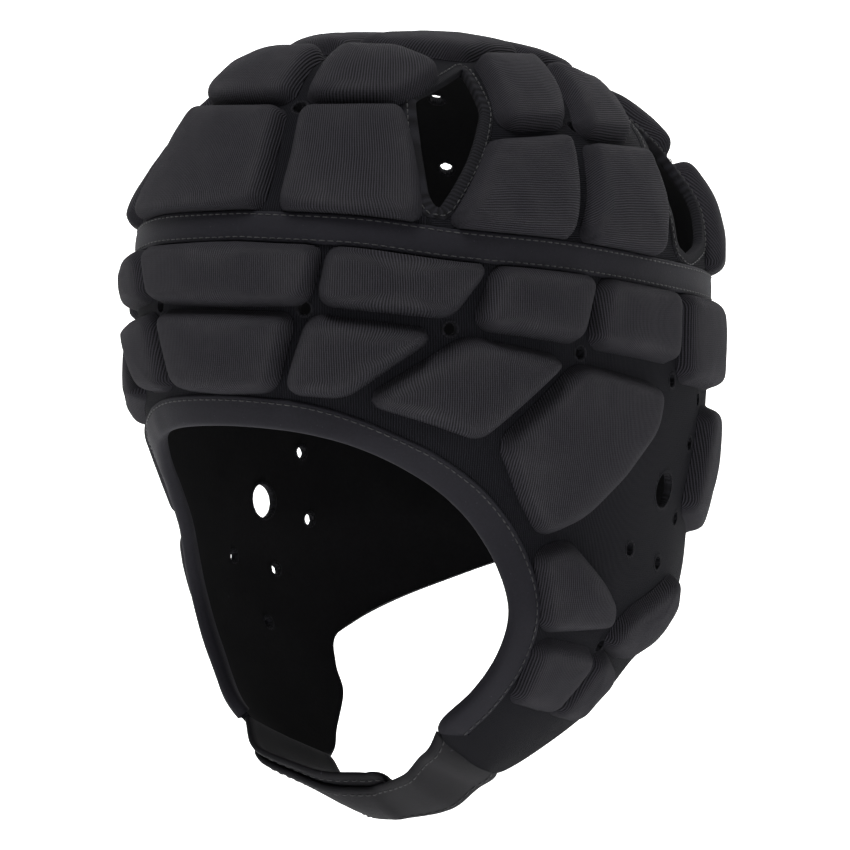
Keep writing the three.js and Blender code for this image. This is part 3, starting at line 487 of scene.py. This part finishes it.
# mm beyond the cut edge, mm out from the face
eyelet_section = [
    (0.8, 0.015), (0.5, 0.09), (0.2, 0.05), (-0.1, -0.3), (-0.12, -1.25), (-0.1, -2.35),
    (0.3, -2.57), (0.8, -2.51)]
folded_section = [
    (4.0, 0.02), (3.95, 0.2), (3.6, 0.36), (2.2, 0.42), (0.9, 0.4), (0.15, 0.28), (-0.25, -0.15),
    (-0.38, -1.2), (-0.25, -2.3), (0.3, -2.85), (3.4, -2.9), (3.9, -2.7), (4.0, -2.52)]


def round_hole(turn, down, size):
    drawn = Drawn([(turn, down)], off_cap)
    angle = np.linspace(0, 2 * np.pi, 28, endpoint=False)
    return drawn, np.stack([np.cos(angle), np.sin(angle)], -1) * size / 2


vents = [Drawn(rear_vent_edge, off_cap)]
for corners in vent_edges.values():
    vents += [Drawn(corners, off_cap), Drawn([(-t, d) for t, d in corners], off_cap)]
vents = [(drawn, rounded(drawn.points, 3, 1.2)) for drawn in vents]
crown_cuts = vents + [round_hole(t, d, crown_hole_size) for t, d in crown_holes]

crown_rows = np.linspace(0, 360, 400, endpoint=False)
crown_steps = np.concatenate([[0.6], np.linspace(2, 100, 78)]) / 100
seam_half_gap = 0.15
hem_stitch_line = 2.9
turn_grid = np.repeat(crown_rows[:, None], len(crown_steps), 1)
down_grid = crown_steps[None, :] * (seam_at(crown_rows) - seam_half_gap)[:, None]
facing_turn = (turn_grid + 180) % 360 - 180
upright = (np.abs(facing_turn) < 35) | (np.abs(facing_turn) > 128)
crown_rib = np.where(
    upright[..., None],
    np.stack([facing_turn * 1.5, down_grid], -1), np.stack([down_grid, facing_turn * 1.4], -1))
crown_parts = [cut_wall(turn_grid, down_grid, crown_cuts, crown_rib, off_cap, pole=True)]
for drawn, outline in vents:
    crown_parts.append(folded_edge(drawn, outline, folded_section))
    seam_line = outline + side_out(outline) * hem_stitch_line
    seam_out = drawn.lift(seam_line, 1) - drawn.lift(seam_line, 0)
    crown_parts.append(stitches(drawn.lift(seam_line, 0.55), seam_out, 1.7, 2.4, 0.17, closed=True))
for drawn, outline in crown_cuts[len(vents):]:
    crown_parts.append(folded_edge(drawn, outline, eyelet_section))
make_piece("crown_base", crown_parts, [shaded_knit_base, lining, thread], ["crown_shell"])

# Band, flaps and nape
# The lower wall of the cap, of the same glued knit and lining: it goes round the brow, over the
# ears and down into two flaps that carry the strap. Punched holes sit over the ears and where
# the grooves cross. Its rib runs up and down.
# top, turn and down of the middle, turn and down of the lower end
band_lines = np.array([
    (0, 0, 140, 0, 167.5), (8, 8, 140, 8.5, 168), (16, 16, 141, 16.5, 169.5),
    (24, 24, 143, 24.5, 173), (31, 31.5, 146, 33, 179.5), (38, 38.5, 150, 41.5, 188.5),
    (44, 46, 157, 49, 199.5), (50, 53, 166, 55.2, 213), (56, 61, 179, 58.6, 228),
    (61, 68, 192, 57.6, 243), (66, 74, 203, 54, 257), (71, 79, 212, 49.5, 271),
    (75, 84, 218, 62, 281), (79, 88, 221, 84, 290), (84, 93, 222, 111, 294),
    (89, 99, 221, 118, 283), (95, 105, 217, 122, 270), (101, 111, 211, 119, 259),
    (108, 117, 205, 119, 249.5), (116, 123, 201, 128, 242.5), (126, 132, 197, 139, 235.5),
    (138, 142, 193, 150, 229), (152, 154, 189, 161, 222.5), (166, 167, 186, 171, 218),
    (180, 180, 184, 180, 216),
])


def band_turn(turn):
    return turn - 4.5 * (1 + np.cos(np.radians(turn))) / 2


def in_band(turn, down, out):
    return off_cap(band_turn(turn), down, out)


full_turn = (360, 360, 0, 360, 0)
round_lines = np.concatenate(
    [band_lines, band_lines[1:-1][::-1] * (-1, -1, 1, -1, 1) + full_turn])


def round_value(rows, at):
    """Smooth value between the lines round the band, which close on themselves after 360."""
    i = np.floor(at).astype(int)
    t = (at - i)[:, None]
    take = [rows[(i + k) % len(rows)] + np.where((i + k) // len(rows) == 0, 0, 1)[:, None]
            * np.sign((i + k) // len(rows))[:, None] * full_turn for k in (-1, 0, 1, 2)]
    a, b, c, d = take
    return b + 0.5 * t * (c - a + t * (2 * a - 5 * b + 4 * c - d + t * (3 * (b - c) + d - a)))


def band_spot(line, t):
    """turn and down on the band at a share t of the way from the seam to the lower edge."""
    top, mid_turn, mid_down, end_turn, end_down = (line[:, k, None] for k in range(5))
    start = seam_at(band_turn(top)) + seam_half_gap
    a, b, c = (1 - t) ** 2, 2 * t * (1 - t), t**2
    turn = a * top + b * (2 * mid_turn - (top + end_turn) / 2) + c * end_turn
    return turn, a * start + b * (2 * mid_down - (start + end_down) / 2) + c * end_down


groove_holes = [(17, 131.8), (42.4, 138), (71, 146), (105.5, 156), (122, 163), (92.3, 241.5)]
left_ear_holes = [(118, 177), (115.5, 201), (93, 209), (107, 214.5)]
right_ear_holes = [(113.4, 184), (114.4, 206.5), (84.2, 217), (101.2, 223)]
ear_hole_size, small_ear_hole_size, groove_hole_size = 11.3, 4.2, 4
band_cuts = [round_hole(band_turn(106), 191, ear_hole_size),
             round_hole(band_turn(-98.7), 199.5, ear_hole_size)]
for spots, side, size in (
    (groove_holes, 1, groove_hole_size), (groove_holes, -1, groove_hole_size),
    (left_ear_holes, 1, small_ear_hole_size), (right_ear_holes, -1, small_ear_hole_size),
):
    band_cuts += [round_hole(band_turn(side * t), d, size) for t, d in spots]

fine_lines = round_value(round_lines, np.arange(0, 48, 1 / 9))
band_t = np.linspace(0, 1, 82)[None, :]
band_t_turn, band_down = band_spot(fine_lines, band_t)
band_rib = np.stack([band_t_turn * 1.5, band_down], -1)
band_parts = [cut_wall(band_turn(band_t_turn), band_down, band_cuts, band_rib, off_cap)]
for drawn, outline in band_cuts:
    band_parts.append(folded_edge(drawn, outline, eyelet_section))
make_piece("band_and_flap_base", band_parts, [shaded_knit_base, lining, thread], ["ring_shell"])

# Foam pads of the crown
# Blocks of closed-cell foam, 6 mm thick, glued under the knit, which is pressed down between
# them into grooves. Each stands up steeply from a small hollow and has a soft round shoulder.
# The same knit as the base copy but with a lighter crest colour; the darker tone of the base copy is
# painted shade.
pad_knit = rib_knit("polyester_rib_knit_over_foam", "060607", "2b2a2f")
tape_clear, pad_spread, pad_height = 4.75 + 0.3, 0.8, 6.0
pad_corner, pad_step, pad_foot = 3.8, 1.1, 2.0
# mm in from the drawn edge, share of the height
pad_profile = [
    (-2.1, 0.008), (-1.8, 0.05), (-1.5, 0.15), (-1.2, 0.29), (-0.9, 0.43), (-0.55, 0.56),
    (-0.1, 0.68), (0.45, 0.785), (1.15, 0.87), (2.0, 0.935), (3.0, 0.978), (4.0, 1.0)]
crown_pads = {
    "front_petal_low": [(2.6, "seam"), (32, "seam"), (31, 66.5), (3, 66.5)],
    "front_petal_high": [(3.2, 61.5), (30.5, 62), (44.5, 47.5), (31, 35), (4.5, 34)],
    "side_petal_front_low": [(39, "seam"), (64, "seam"), (74.3, 77.5), (50.5, 79.5)],
    "side_petal_front_high": [(57, 72.5), (77, 71.5), (103, 41), (66, 41)],
    "side_petal_rear_low": [(68.7, "seam"), (95, "seam"), (106, 82.5), (81.7, 80.5)],
    "side_petal_rear_high": [(83.5, 75), (106, 76), (130, 54), (109, 45)],
    "back_petal_side_low": [(128, "seam"), (146.5, "seam"), (148.5, 88), (138, 87)],
    "back_petal_side_high": [(139.5, 81), (148.6, 81.5), (151, 57.5), (143.5, 61)],
    "back_petal_rear_low": [(151.7, "seam"), (174.5, "seam"), (169.5, 87), (153.8, 88)],
    "back_petal_rear_high": [(154.2, 81.5), (168.5, 79), (169, 63), (158, 57.5)],
}
wedge_pads = {
    "crown_wedge_front": [(160, 13.5), (12, 7), (6, 28.5), (31, 29.5), (60, 36), (84, 35), (110, 36)],
    "crown_wedge_side": [(166, 18), (123, 39.5), (132, 49), (142, 50.5), (152, 46.5), (162, 31)],
}
rear_wedge = [(180, 23), (169, 36), (163, 49.5), (180, 56), (-163, 49.5), (-169, 36)]


def on_crown_pad(turn, down, out):
    turned = crown_turn((np.asarray(turn, float) + 180) % 360 - 180)
    return off_cap(turned, np.minimum(down, seam_at(turned) - tape_clear), out)


def at_seam(corners, turned, side):
    return [(t, seam_at(turned(t)) + side * (tape_clear + pad_spread) if d == "seam" else d)
            for t, d in corners]


class DrawnOnTop(Drawn):
    """The same on the top of the crown, where the pattern is read round the middle."""

    def __init__(self, corners, place):
        turn, down = np.array(corners, float).T
        flat = np.stack([down * np.sin(np.radians(turn)), down * np.cos(np.radians(turn))], -1)
        self.place, self.centre = place, flat.mean(0)
        self.points = flat - self.centre

    def spot(self, p):
        u, v = p[..., 0] + self.centre[0], p[..., 1] + self.centre[1]
        return np.degrees(np.arctan2(u, v)), np.hypot(u, v)


def foam_pad(name, drawn, tall, sideways=False):
    ring = rounded(drawn.points, pad_corner, pad_step)
    out = side_out(ring)
    smallest = np.linalg.norm(ring, axis=1).min()
    shrink = min(1, smallest * 0.62 / pad_corner)
    crown_rise = 0.3 + 0.016 * smallest
    to_middle = ring / np.linalg.norm(ring, axis=1)[:, None]
    to_middle = to_middle / np.maximum(np.sum(to_middle * out, 1), 0.62)[:, None]
    rows, heights = [], []
    for inward, share in pad_profile:
        rows.append(ring - (to_middle * inward * shrink if inward > 0 else out * inward))
        heights.append(np.full(len(ring), share * tall))
    last = rows[-1]
    for share in (0.92, 0.82, 0.7, 0.56, 0.42, 0.28, 0.14, 0.04):
        rows.append(last * share)
        heights.append(np.full(len(ring), tall + crown_rise * (1 - share**2)))
    under = [ring * share + out * pad_foot * share for share in (0.05, 0.3, 0.55, 0.78)]
    rows = under + rows
    heights = [np.full(len(ring), 0.12)] * len(under) + heights
    flat = np.stack(rows)
    height_grid = np.stack(heights)
    base = drawn.lift(flat, 0)
    soft = np.clip(height_grid / tall, 0, 1) ** 1.5
    height_grid = height_grid + soft * (0.16 * uneven(base, 7) + 0.1 * uneven(base[..., ::-1], 3.1))
    points = drawn.lift(flat, height_grid)
    count = len(ring)
    faces = woven_faces(len(flat), count)
    start, end = np.arange(count), (len(flat) - 1) * count + np.arange(count)
    caps = [np.stack([start, np.roll(start, -1), np.full(count, len(flat) * count)], -1)[:, ::-1],
            np.stack([end, np.roll(end, -1), np.full(count, len(flat) * count + 1)], -1)]
    both = np.concatenate([points.reshape(-1, 3), [points[0].mean(0)], [points[-1].mean(0)]])
    wall = len(pad_profile) - 1
    along_cloth = np.linalg.norm(np.diff(points, axis=0), axis=2)[len(under):len(under) + wall]
    spread = np.cumsum(along_cloth[::-1], 0)[::-1]
    cloth = flat.copy()
    for k in range(wall):
        cloth[len(under) + k] += 0.5 * (last + out * spread[k][:, None] - cloth[len(under) + k])
    rib = cloth.reshape(-1, 2)[:, ::-1] if sideways else cloth.reshape(-1, 2)
    rib = np.concatenate([rib, [(0, 0), (0, 0)]])
    from_shoulder = np.abs(height_grid / tall - 0.93)
    rubbed = (0.08 + 0.16 * np.exp(-(from_shoulder / 0.1) ** 2)) * (height_grid > 1)
    worn = np.concatenate([rubbed.ravel(), [0, 0.1]])
    if np.sum(side_out(ring) * ring) < 0:
        faces = faces[:, ::-1]
    parts = [(both, [faces] + caps, rib, worn, 0)]
    piece = make_piece(name + "_pad", parts, [pad_knit], [name])


def mirrored(corners):
    return [(-t, d) for t, d in corners]


for name, corners in crown_pads.items():
    for side, own in (("left", corners), ("right", mirrored(corners))):
        drawn = Drawn(at_seam(own, crown_turn, -1), on_crown_pad)
        foam_pad(f"{name}_{side}", drawn, pad_height, sideways=name.startswith("side"))
for name, corners in wedge_pads.items():
    for side, own in (("left", corners), ("right", mirrored(corners))):
        foam_pad(f"{name}_{side}", DrawnOnTop(own, on_crown_pad), pad_height)
foam_pad("crown_wedge_rear", DrawnOnTop(rear_wedge, on_crown_pad), pad_height)

# Foam pads of the band, the flaps and the nape
# The same glued foam blocks: two rows round the brow, a large one at the temple, the nape pads
# and thinner small ones on the flap. The knit over them runs up and down.
small_pad_height = 5.2
band_pads = {
    "band_pad_1": [(22.3, "seam"), (48.6, "seam"), (42, 133), (20.2, 129)],
    "band_pad_2": [(51.5, "seam"), (73.2, "seam"), (69.5, 141.5), (47.5, 136.5)],
    "band_pad_3": [(77.5, "seam"), (104, "seam"), (103, 149), (73.8, 143)],
    "band_pad_4": [(108.3, "seam"), (140.5, "seam"), (140.5, 159), (126, 158), (108.3, 155)],
    "band_pad_5": [(144, "seam"), (177.6, "seam"), (177.6, 161.5), (144, 160)],
    "temple_pad_1": [(18.4, 135.3), (38.5, 139.7), (23.6, 157.3), (14, 156.3)],
    "temple_pad_2": [(28.5, 159.5), (45, 142), (65, 148.8), (48, 170.5), (39, 165)],
    "temple_pad_3": [(53, 173), (69.3, 151), (97, 158.8), (95.5, 170), (84, 184.5), (73, 196.5),
                     (64, 201.5), (58.5, 189.5)],
    "nape_pad": [(124, 167), (148.5, 169), (149, 202), (134, 206), (119, 197.5)],
    "cheek_pad_upper": [(63.5, 208.5), (70.5, 206), (88, 227), (89, 233), (67, 232.5)],
    "cheek_pad_lower": [(67, 238), (88.3, 244), (84, 263), (65.5, 257.5)],
    "cheek_pad_rear": [(93, 244), (107, 253), (104, 268), (88.5, 264)],
    "ear_rim_pad": [(116.5, 219.5), (122, 230), (117, 240.5), (106, 246), (93.6, 240), (97.5, 230.5),
                    (110, 224)],
}
middle_pads = {
    "brow_pad_centre": [(0, "seam"), (19.6, "seam"), (17.2, 129), (0, 129.6)],
    "forehead_pad_centre": [(0, 134.3), (14.6, 134.6), (10.6, 155.8), (0, 156.8)],
    "nape_pad_centre": [(180, 169.5), (153, 169), (154, 202), (180, 200.5)],
}


def on_band_pad(turn, down, out):
    turned = band_turn(np.asarray(turn, float))
    return off_cap(turned, np.maximum(down, seam_at(turned) + tape_clear), out)


for name, corners in band_pads.items():
    tall = small_pad_height if name.startswith(("cheek", "ear")) else pad_height
    for side, own in (("left", corners), ("right", mirrored(corners))):
        foam_pad(f"{name}_{side}", Drawn(at_seam(own, band_turn, 1), on_band_pad), tall)
for name, corners in middle_pads.items():
    other = [(360 - t if name.startswith("nape") else -t, d) for t, d in corners[1:-1][::-1]]
    foam_pad(name, Drawn(at_seam(corners + other, band_turn, 1), on_band_pad), pad_height)

# Seam tape
# Elastic tape, 9.5 mm wide, sewn over the seam between crown and band with a row of stitches
# along each edge.


# Woven elastic tape, polyester over rubber, dyed black with a blue cast. Gives a smooth flat
# face with a fine cross weave, drawn at 0.5 mm, and specks of lint.
def woven_tape(name, ground, crest, weave=0.5):
    m = new_material(name)
    place = add(m, "ShaderNodeTexCoord").outputs["Object"]
    cloth = add(m, "ShaderNodeAttribute", attribute_name="rib_mm").outputs["Vector"]
    xyz = add(m, "ShaderNodeSeparateXYZ", {"Vector": cloth})
    warp = add(m, "ShaderNodeMath", {0: xyz.outputs["X"], 1: 2 * math.pi / weave}, operation="MULTIPLY")
    warp = add(m, "ShaderNodeMath", {0: warp.outputs[0]}, operation="SINE")
    weft = add(m, "ShaderNodeMath", {0: xyz.outputs["Y"], 1: 2 * math.pi / weave}, operation="MULTIPLY")
    weft = add(m, "ShaderNodeMath", {0: weft.outputs[0]}, operation="SINE")
    grain = add(m, "ShaderNodeMath", {0: warp.outputs[0], 1: weft.outputs[0]}, operation="MULTIPLY")
    fuzz = add(m, "ShaderNodeTexNoise", {"Vector": place, "Scale": 1100, "Detail": 3, "Roughness": 0.7})
    high = add(m, "ShaderNodeMath", {0: grain.outputs[0], 1: 0.2, 2: fuzz.outputs["Fac"]},
               operation="MULTIPLY_ADD")
    tone = add(m, "ShaderNodeMix", {"Factor": high.outputs[0], "A": linear(ground), "B": linear(crest)},
               data_type="RGBA")
    speck = add(m, "ShaderNodeTexNoise", {"Vector": place, "Scale": 950, "Detail": 1})
    lint = add(m, "ShaderNodeMapRange",
               {"Value": speck.outputs["Fac"], "From Min": 0.74, "From Max": 0.84})
    face = add(m, "ShaderNodeMix", {"Factor": lint.outputs["Result"], "A": tone.outputs["Result"],
                                    "B": linear("303036")}, data_type="RGBA")
    bump = add(m, "ShaderNodeBump", {"Height": high.outputs[0], "Distance": 0.00012, "Strength": 0.6})
    cover = add(m, "ShaderNodeBsdfPrincipled", {
        "Base Color": face.outputs["Result"], "Normal": bump.outputs["Normal"], "Roughness": 0.75,
        "IOR": 1.5, "Specular IOR Level": 0.14, "Sheen Weight": 0.02, "Sheen Roughness": 0.4,
        "Sheen Tint": (0.55, 0.55, 0.65, 1)})
    add(m, "ShaderNodeOutputMaterial", {"Surface": cover.outputs[0]})
    return m


tape_weave = woven_tape("woven_polyester_elastic_tape", "0b0b0e", "19181f")
tape_stitch_line = 3.6
# mm from the middle of the tape, mm out from the cap
tape_section = [
    (-4.7, 0.14), (-4.75, 0.5), (-4.55, 0.85), (-4.0, 1.0), (-3.6, 0.92), (-3.0, 1.08),
    (-1.5, 1.16), (0, 1.18), (1.5, 1.16), (3.0, 1.08), (3.6, 0.92), (4.0, 1.0), (4.55, 0.85),
    (4.75, 0.5), (4.7, 0.14), (0, 0.1)]
tape_turn = np.linspace(0, 360, 720, endpoint=False)
tape_mid = seam_at(tape_turn)
tape_points = off_cap(tape_turn, tape_mid, 0)
wave = 0.12 * uneven(tape_points, 5)
tape_rows = np.stack([off_cap(tape_turn, tape_mid + a + wave * (abs(a) > 4), o + 0.3 * wave * (o > 0.5))
                      for a, o in tape_section], 1)
tape_across = np.array([a for a, o in tape_section])
tape_rib = np.stack(
    np.broadcast_arrays(tape_across[None], way_along(tape_points)[:, None]), -1)
tape_parts = [(tape_rows, [woven_faces(len(tape_turn), len(tape_section), loop=True)[:, ::-1]],
               tape_rib.reshape(-1, 2), 0.1, 0)]
tape_out = off_cap(tape_turn, tape_mid, 1) - tape_points
for away in (-tape_stitch_line, tape_stitch_line):
    stitch_line = off_cap(tape_turn, tape_mid + away, 1.0)
    tape_parts.append(stitches(stitch_line, tape_out, 2.0, 2.7, 0.18, closed=True))
make_piece("seam_tape", tape_parts, [tape_weave, tape_weave, thread], ["crown_seam_tape"])

# Face binding
# The same elastic tape folded over the raw edge of the face opening, from one flap tip over the
# brow to the other, and held by one row of stitches near its upper edge.


def steps_on_cap(turn, down, along_way):
    """Change of turn and down for one mm in each of the given directions."""
    a = in_band(turn + 0.5, down, 0) - in_band(turn - 0.5, down, 0)
    b = in_band(turn, down + 0.5, 0) - in_band(turn, down - 0.5, 0)
    aa, bb, ab = (a * a).sum(-1), (b * b).sum(-1), (a * b).sum(-1)
    sa, sb = (along_way * a).sum(-1), (along_way * b).sum(-1)
    det = aa * bb - ab * ab
    return (sa * bb - sb * ab) / det, (sb * aa - sa * ab) / det


binding_stitch_line = 7.6
edge_lines = round_value(round_lines, np.linspace(-11, 11, 420))
edge_turn, edge_down = (k[:, 0] for k in band_spot(edge_lines, np.ones((1, 1))))
edge_points = in_band(edge_turn, edge_down, 0)
edge_run = np.gradient(edge_points, axis=0)
edge_run /= np.linalg.norm(edge_run, axis=1)[:, None]
edge_out = in_band(edge_turn, edge_down, 1) - edge_points
onto_cap = np.cross(edge_out, edge_run)
step_turn, step_down = steps_on_cap(edge_turn, edge_down, onto_cap)
# mm onto the cap from its cut edge, mm out from the face
binding_section = [
    (9.0, 0.1), (8.95, 0.55), (8.6, 0.85), (8.1, 0.92), (7.6, 0.82), (6.8, 0.98), (4.5, 1.05),
    (2.0, 1.08), (0.6, 1.0), (-0.25, 0.75), (-0.8, 0.2), (-1.05, -0.6), (-1.1, -1.3), (-1.0, -2.1),
    (-0.7, -2.8), (0, -3.3), (1.5, -3.55), (4.2, -3.55), (4.7, -3.3), (4.9, -2.7), (2.5, -2.56),
    (0, -2.56), (-0.12, -1.3), (0, 0.05), (4.5, 0.05)]
pucker = 0.1 * uneven(edge_points, 3.2)
binding_rows = np.stack([in_band(edge_turn + step_turn * a, edge_down + step_down * a,
                                 o + pucker * (0.4 < o)) for a, o in binding_section], 1)
binding_across = np.array([a for a, o in binding_section])
binding_rib = np.stack(
    np.broadcast_arrays(binding_across[None], way_along(edge_points)[:, None]), -1)
n_binding = len(binding_section)
binding_end = np.arange(n_binding)[None]
ends = [binding_end[:, ::-1], (len(edge_turn) - 1) * n_binding + binding_end]
binding_parts = [(binding_rows, [woven_faces(len(edge_turn), n_binding)[:, ::-1]] + ends,
                  binding_rib.reshape(-1, 2), 0.1, 0)]
stitch_line = in_band(edge_turn + step_turn * binding_stitch_line,
                      edge_down + step_down * binding_stitch_line, 0.9)
binding_parts.append(stitches(stitch_line, edge_out, 2.0, 2.7, 0.18))
make_piece("face_edge_binding", binding_parts, [tape_weave, tape_weave, thread], ["face_binding"])

# Chin strap
# Two flat straps of smooth stretch fabric over thin foam, one from each flap tip. The left one
# laps under the chin outside the right one and sticks to it by hook and loop tape.
strap_cloth = woven_tape("stretch_jersey_over_foam", "060608", "0f0e12", 0.42)
strap_thickness, strap_lap, strap_slack, strap_setback = 2.2, 3.0, 3.0, 5.0
# along, out, front reach, front drop, rear reach, rear drop
chin_rows = [(0.25, 0.4, 0.46, 0.907, 0.045, 0.962), (0.5, 0.28, 0.41, 0.927, 0.06, 0.981),
             (0.75, 0.145, 0.36, 0.943, 0.1, 0.997), (1, 0, 0.335, 0.95, 0.145, 1.002)]


def strap_edges(sign, at):
    tips = [in_band(sign * t, d, -base_thickness / 2) for t, d in ((48.5, 271.5), (110, 294.5))]
    table = np.array([(0, abs(tips[0][0]) / half_width, -tips[0][1] / half_length,
                       (base_thickness - tips[0][2]) / height, -tips[1][1] / half_length,
                       (base_thickness - tips[1][2]) / height, abs(tips[1][0]) / half_width)]
                     + [(*row, row[1] * 0.86) for row in chin_rows])
    out, fr, fd, rr, rd, rear_out = (smooth_value(table[:, 0], table[:, k], at) for k in range(1, 7))
    front = np.stack([sign * out * half_width, -fr * half_length, base_thickness - fd * height], -1)
    rear = np.stack([sign * rear_out * half_width, -rr * half_length, base_thickness - rd * height], -1)
    return front, rear


def strap_row(side, s, rise, setback):
    sign, at = (-side, 2 - s) if s > 1 else (side, s)
    front, rear = strap_edges(sign, np.array(at))
    nf, nr = strap_edges(sign, np.array(min(at + 0.02, 1.0)))
    lf, lr = strap_edges(sign, np.array(max(at - 0.02, 0.0)))
    across = (rear - front) / np.linalg.norm(rear - front)
    normal = np.cross(nf + nr - lf - lr, across)
    normal /= np.linalg.norm(normal)
    normal = -normal if normal[2] > 0 else normal
    front = front + across * setback + normal * rise
    return front, rear + across * setback * 0.3 + normal * rise, normal


def ease(x):
    t = min(max(x, 0), 1)
    return t * t * (3 - 2 * t)


# share of the width from the front edge, share of half the thickness
strap_section = [
    (0.0, 0.0), (0.006, 0.55), (0.03, 0.9), (0.075, 0.98), (0.1, 0.88), (0.14, 1.0), (0.3, 1.04),
    (0.5, 1.06), (0.7, 1.04), (0.86, 1.0), (0.9, 0.88), (0.925, 0.98), (0.97, 0.9), (0.994, 0.55),
    (1.0, 0.0)]
strap_far_edge = len(strap_section) - 1
strap_section += [(w, -h) for w, h in strap_section[-2:0:-1]]


def strap_sag(s):
    """How far both halves hang down where they lap, along the left half."""
    return strap_slack * ease((s - 0.9) / 0.5) * ease((2 - s) / 0.3)


def chin_strap(name, side, last, lapped):
    steps = np.linspace(0.02, last, 90)
    rows, lines = [], {0.1: ([], []), 0.9: ([], [])}
    way, before = [], None
    for s in steps:
        rise = strap_lap * ease((s - 0.35) / 0.28) + strap_sag(s) if lapped else strap_sag(2 - s)
        setback = strap_setback * ease((s - 0.6) / 0.5) if lapped else 0
        front, rear, normal = strap_row(side, s, rise, setback)
        near_end = (last - s) / 0.12
        narrow = (1 - math.sqrt(max(0, 1 - (1 - min(near_end, 1)) ** 2))) * 0.3
        mid = (front + rear) / 2
        way.append(0 if before is None else way[-1] + np.linalg.norm(mid - before))
        before = mid
        row = []
        for w, h in strap_section:
            share = narrow / 2 + w * (1 - narrow)
            bulge = 0.8 * 4 * share * (1 - share)
            p = front + (rear - front) * share
            row.append(p + normal * (bulge + h * strap_thickness / 2))
        rows.append(row)
        for w in lines:
            share = narrow / 2 + w * (1 - narrow)
            lines[w][0].append(front + (rear - front) * share
                               + normal * (0.8 * 4 * share * (1 - share) + 0.92 * strap_thickness / 2))
            lines[w][1].append(normal)
    rows = np.array(rows)
    rows = rows + 0.12 * uneven(rows, 8)[..., None] * np.array([0, 0, 1])
    n = len(strap_section)
    width = np.linalg.norm(rows[:, 0] - rows[:, strap_far_edge], axis=1)
    rib = np.stack([np.array([w for w, h in strap_section])[None] * width[:, None],
                    np.broadcast_to(np.array(way)[:, None], (len(rows), n))], -1)
    faces = woven_faces(len(rows), n)
    caps = [np.arange(n)[None, ::-1], (len(rows) - 1) * n + np.arange(n)[None]]
    parts = [(rows, [faces] + caps, rib.reshape(-1, 2), 0.1, 0)]
    for points, outs in lines.values():
        parts.append(stitches(np.array(points), np.array(outs), 2.0, 2.8, 0.18))
    make_piece(name, parts, [strap_cloth, strap_cloth, thread], [name.replace("_half", "")])


chin_strap("chin_strap_half_left", 1, 1.88, True)
chin_strap("chin_strap_half_right", -1, 1.15, False)

# Floor and light
# A plain pale floor that turns up into a wall and glows a little so that it stays white, and
# soft lights round the cap.
floor_mesh = bpy.data.meshes.new("studio_floor")
floor_height, bend = -0.262, 0.8
curve = [(-3.0, floor_height)]
curve += [(1.2 + math.sin(a) * bend, floor_height + (1 - math.cos(a)) * bend)
          for a in np.linspace(0, math.pi / 2, 16)]
curve += [(2.0, 3.5)]
back_way = Vector((-toward.x, -toward.y, 0)).normalized()
across_way = Vector((-back_way.y, back_way.x, 0))
verts = [back_way * run + across_way * wide + Vector((0, 0, up))
         for run, up in curve for wide in (-4, 4)]
floor_mesh.from_pydata([tuple(v) for v in verts], [],
                       [(2 * k, 2 * k + 1, 2 * k + 3, 2 * k + 2) for k in range(len(curve) - 1)])
floor_mesh.polygons.foreach_set("use_smooth", [True] * len(floor_mesh.polygons))
floor = bpy.data.objects.new("studio_floor", floor_mesh)
bpy.context.scene.collection.objects.link(floor)
paper = new_material("matt_white_paper")
grain = add(paper, "ShaderNodeTexNoise", {"Scale": 60, "Detail": 3})
paper_tone = add(paper, "ShaderNodeMix", {"Factor": grain.outputs["Fac"], "A": linear("f2f2f2"),
                                          "B": linear("f7f7f7")}, data_type="RGBA")
paper_face = add(paper, "ShaderNodeBsdfPrincipled", {
    "Base Color": paper_tone.outputs["Result"], "Roughness": 0.9,
    "Emission Color": (1, 1, 1, 1), "Emission Strength": 0.85})
add(paper, "ShaderNodeOutputMaterial", {"Surface": paper_face.outputs[0]})
floor_mesh.materials.append(paper)

for name, place, size, power in (
    ("key_light", (0.05, -0.6, 1.4), 0.6, 27),
    ("fill_light", (-1.1, -1.0, 0.35), 1.2, 1.0),
    ("side_light", (1.4, -0.1, 0.3), 1.0, 4),
    ("back_light", (0.1, 1.3, 1.0), 1.0, 9),
):
    lamp = bpy.data.objects.new(name, bpy.data.lights.new(name, "AREA"))
    lamp.data.size = size
    lamp.data.energy = power
    lamp.location = place
    lamp.rotation_euler = (Vector((0, 0, -0.1)) - Vector(place)).to_track_quat("-Z", "Y").to_euler()
    bpy.context.scene.collection.objects.link(lamp)
world = bpy.data.worlds.new("studio_air")
world.use_nodes = True
world.node_tree.nodes["Background"].inputs["Color"].default_value = (1, 1, 1, 1)
world.node_tree.nodes["Background"].inputs["Strength"].default_value = 0.2
bpy.context.scene.world = world
bpy.context.scene.view_settings.view_transform = "Standard"
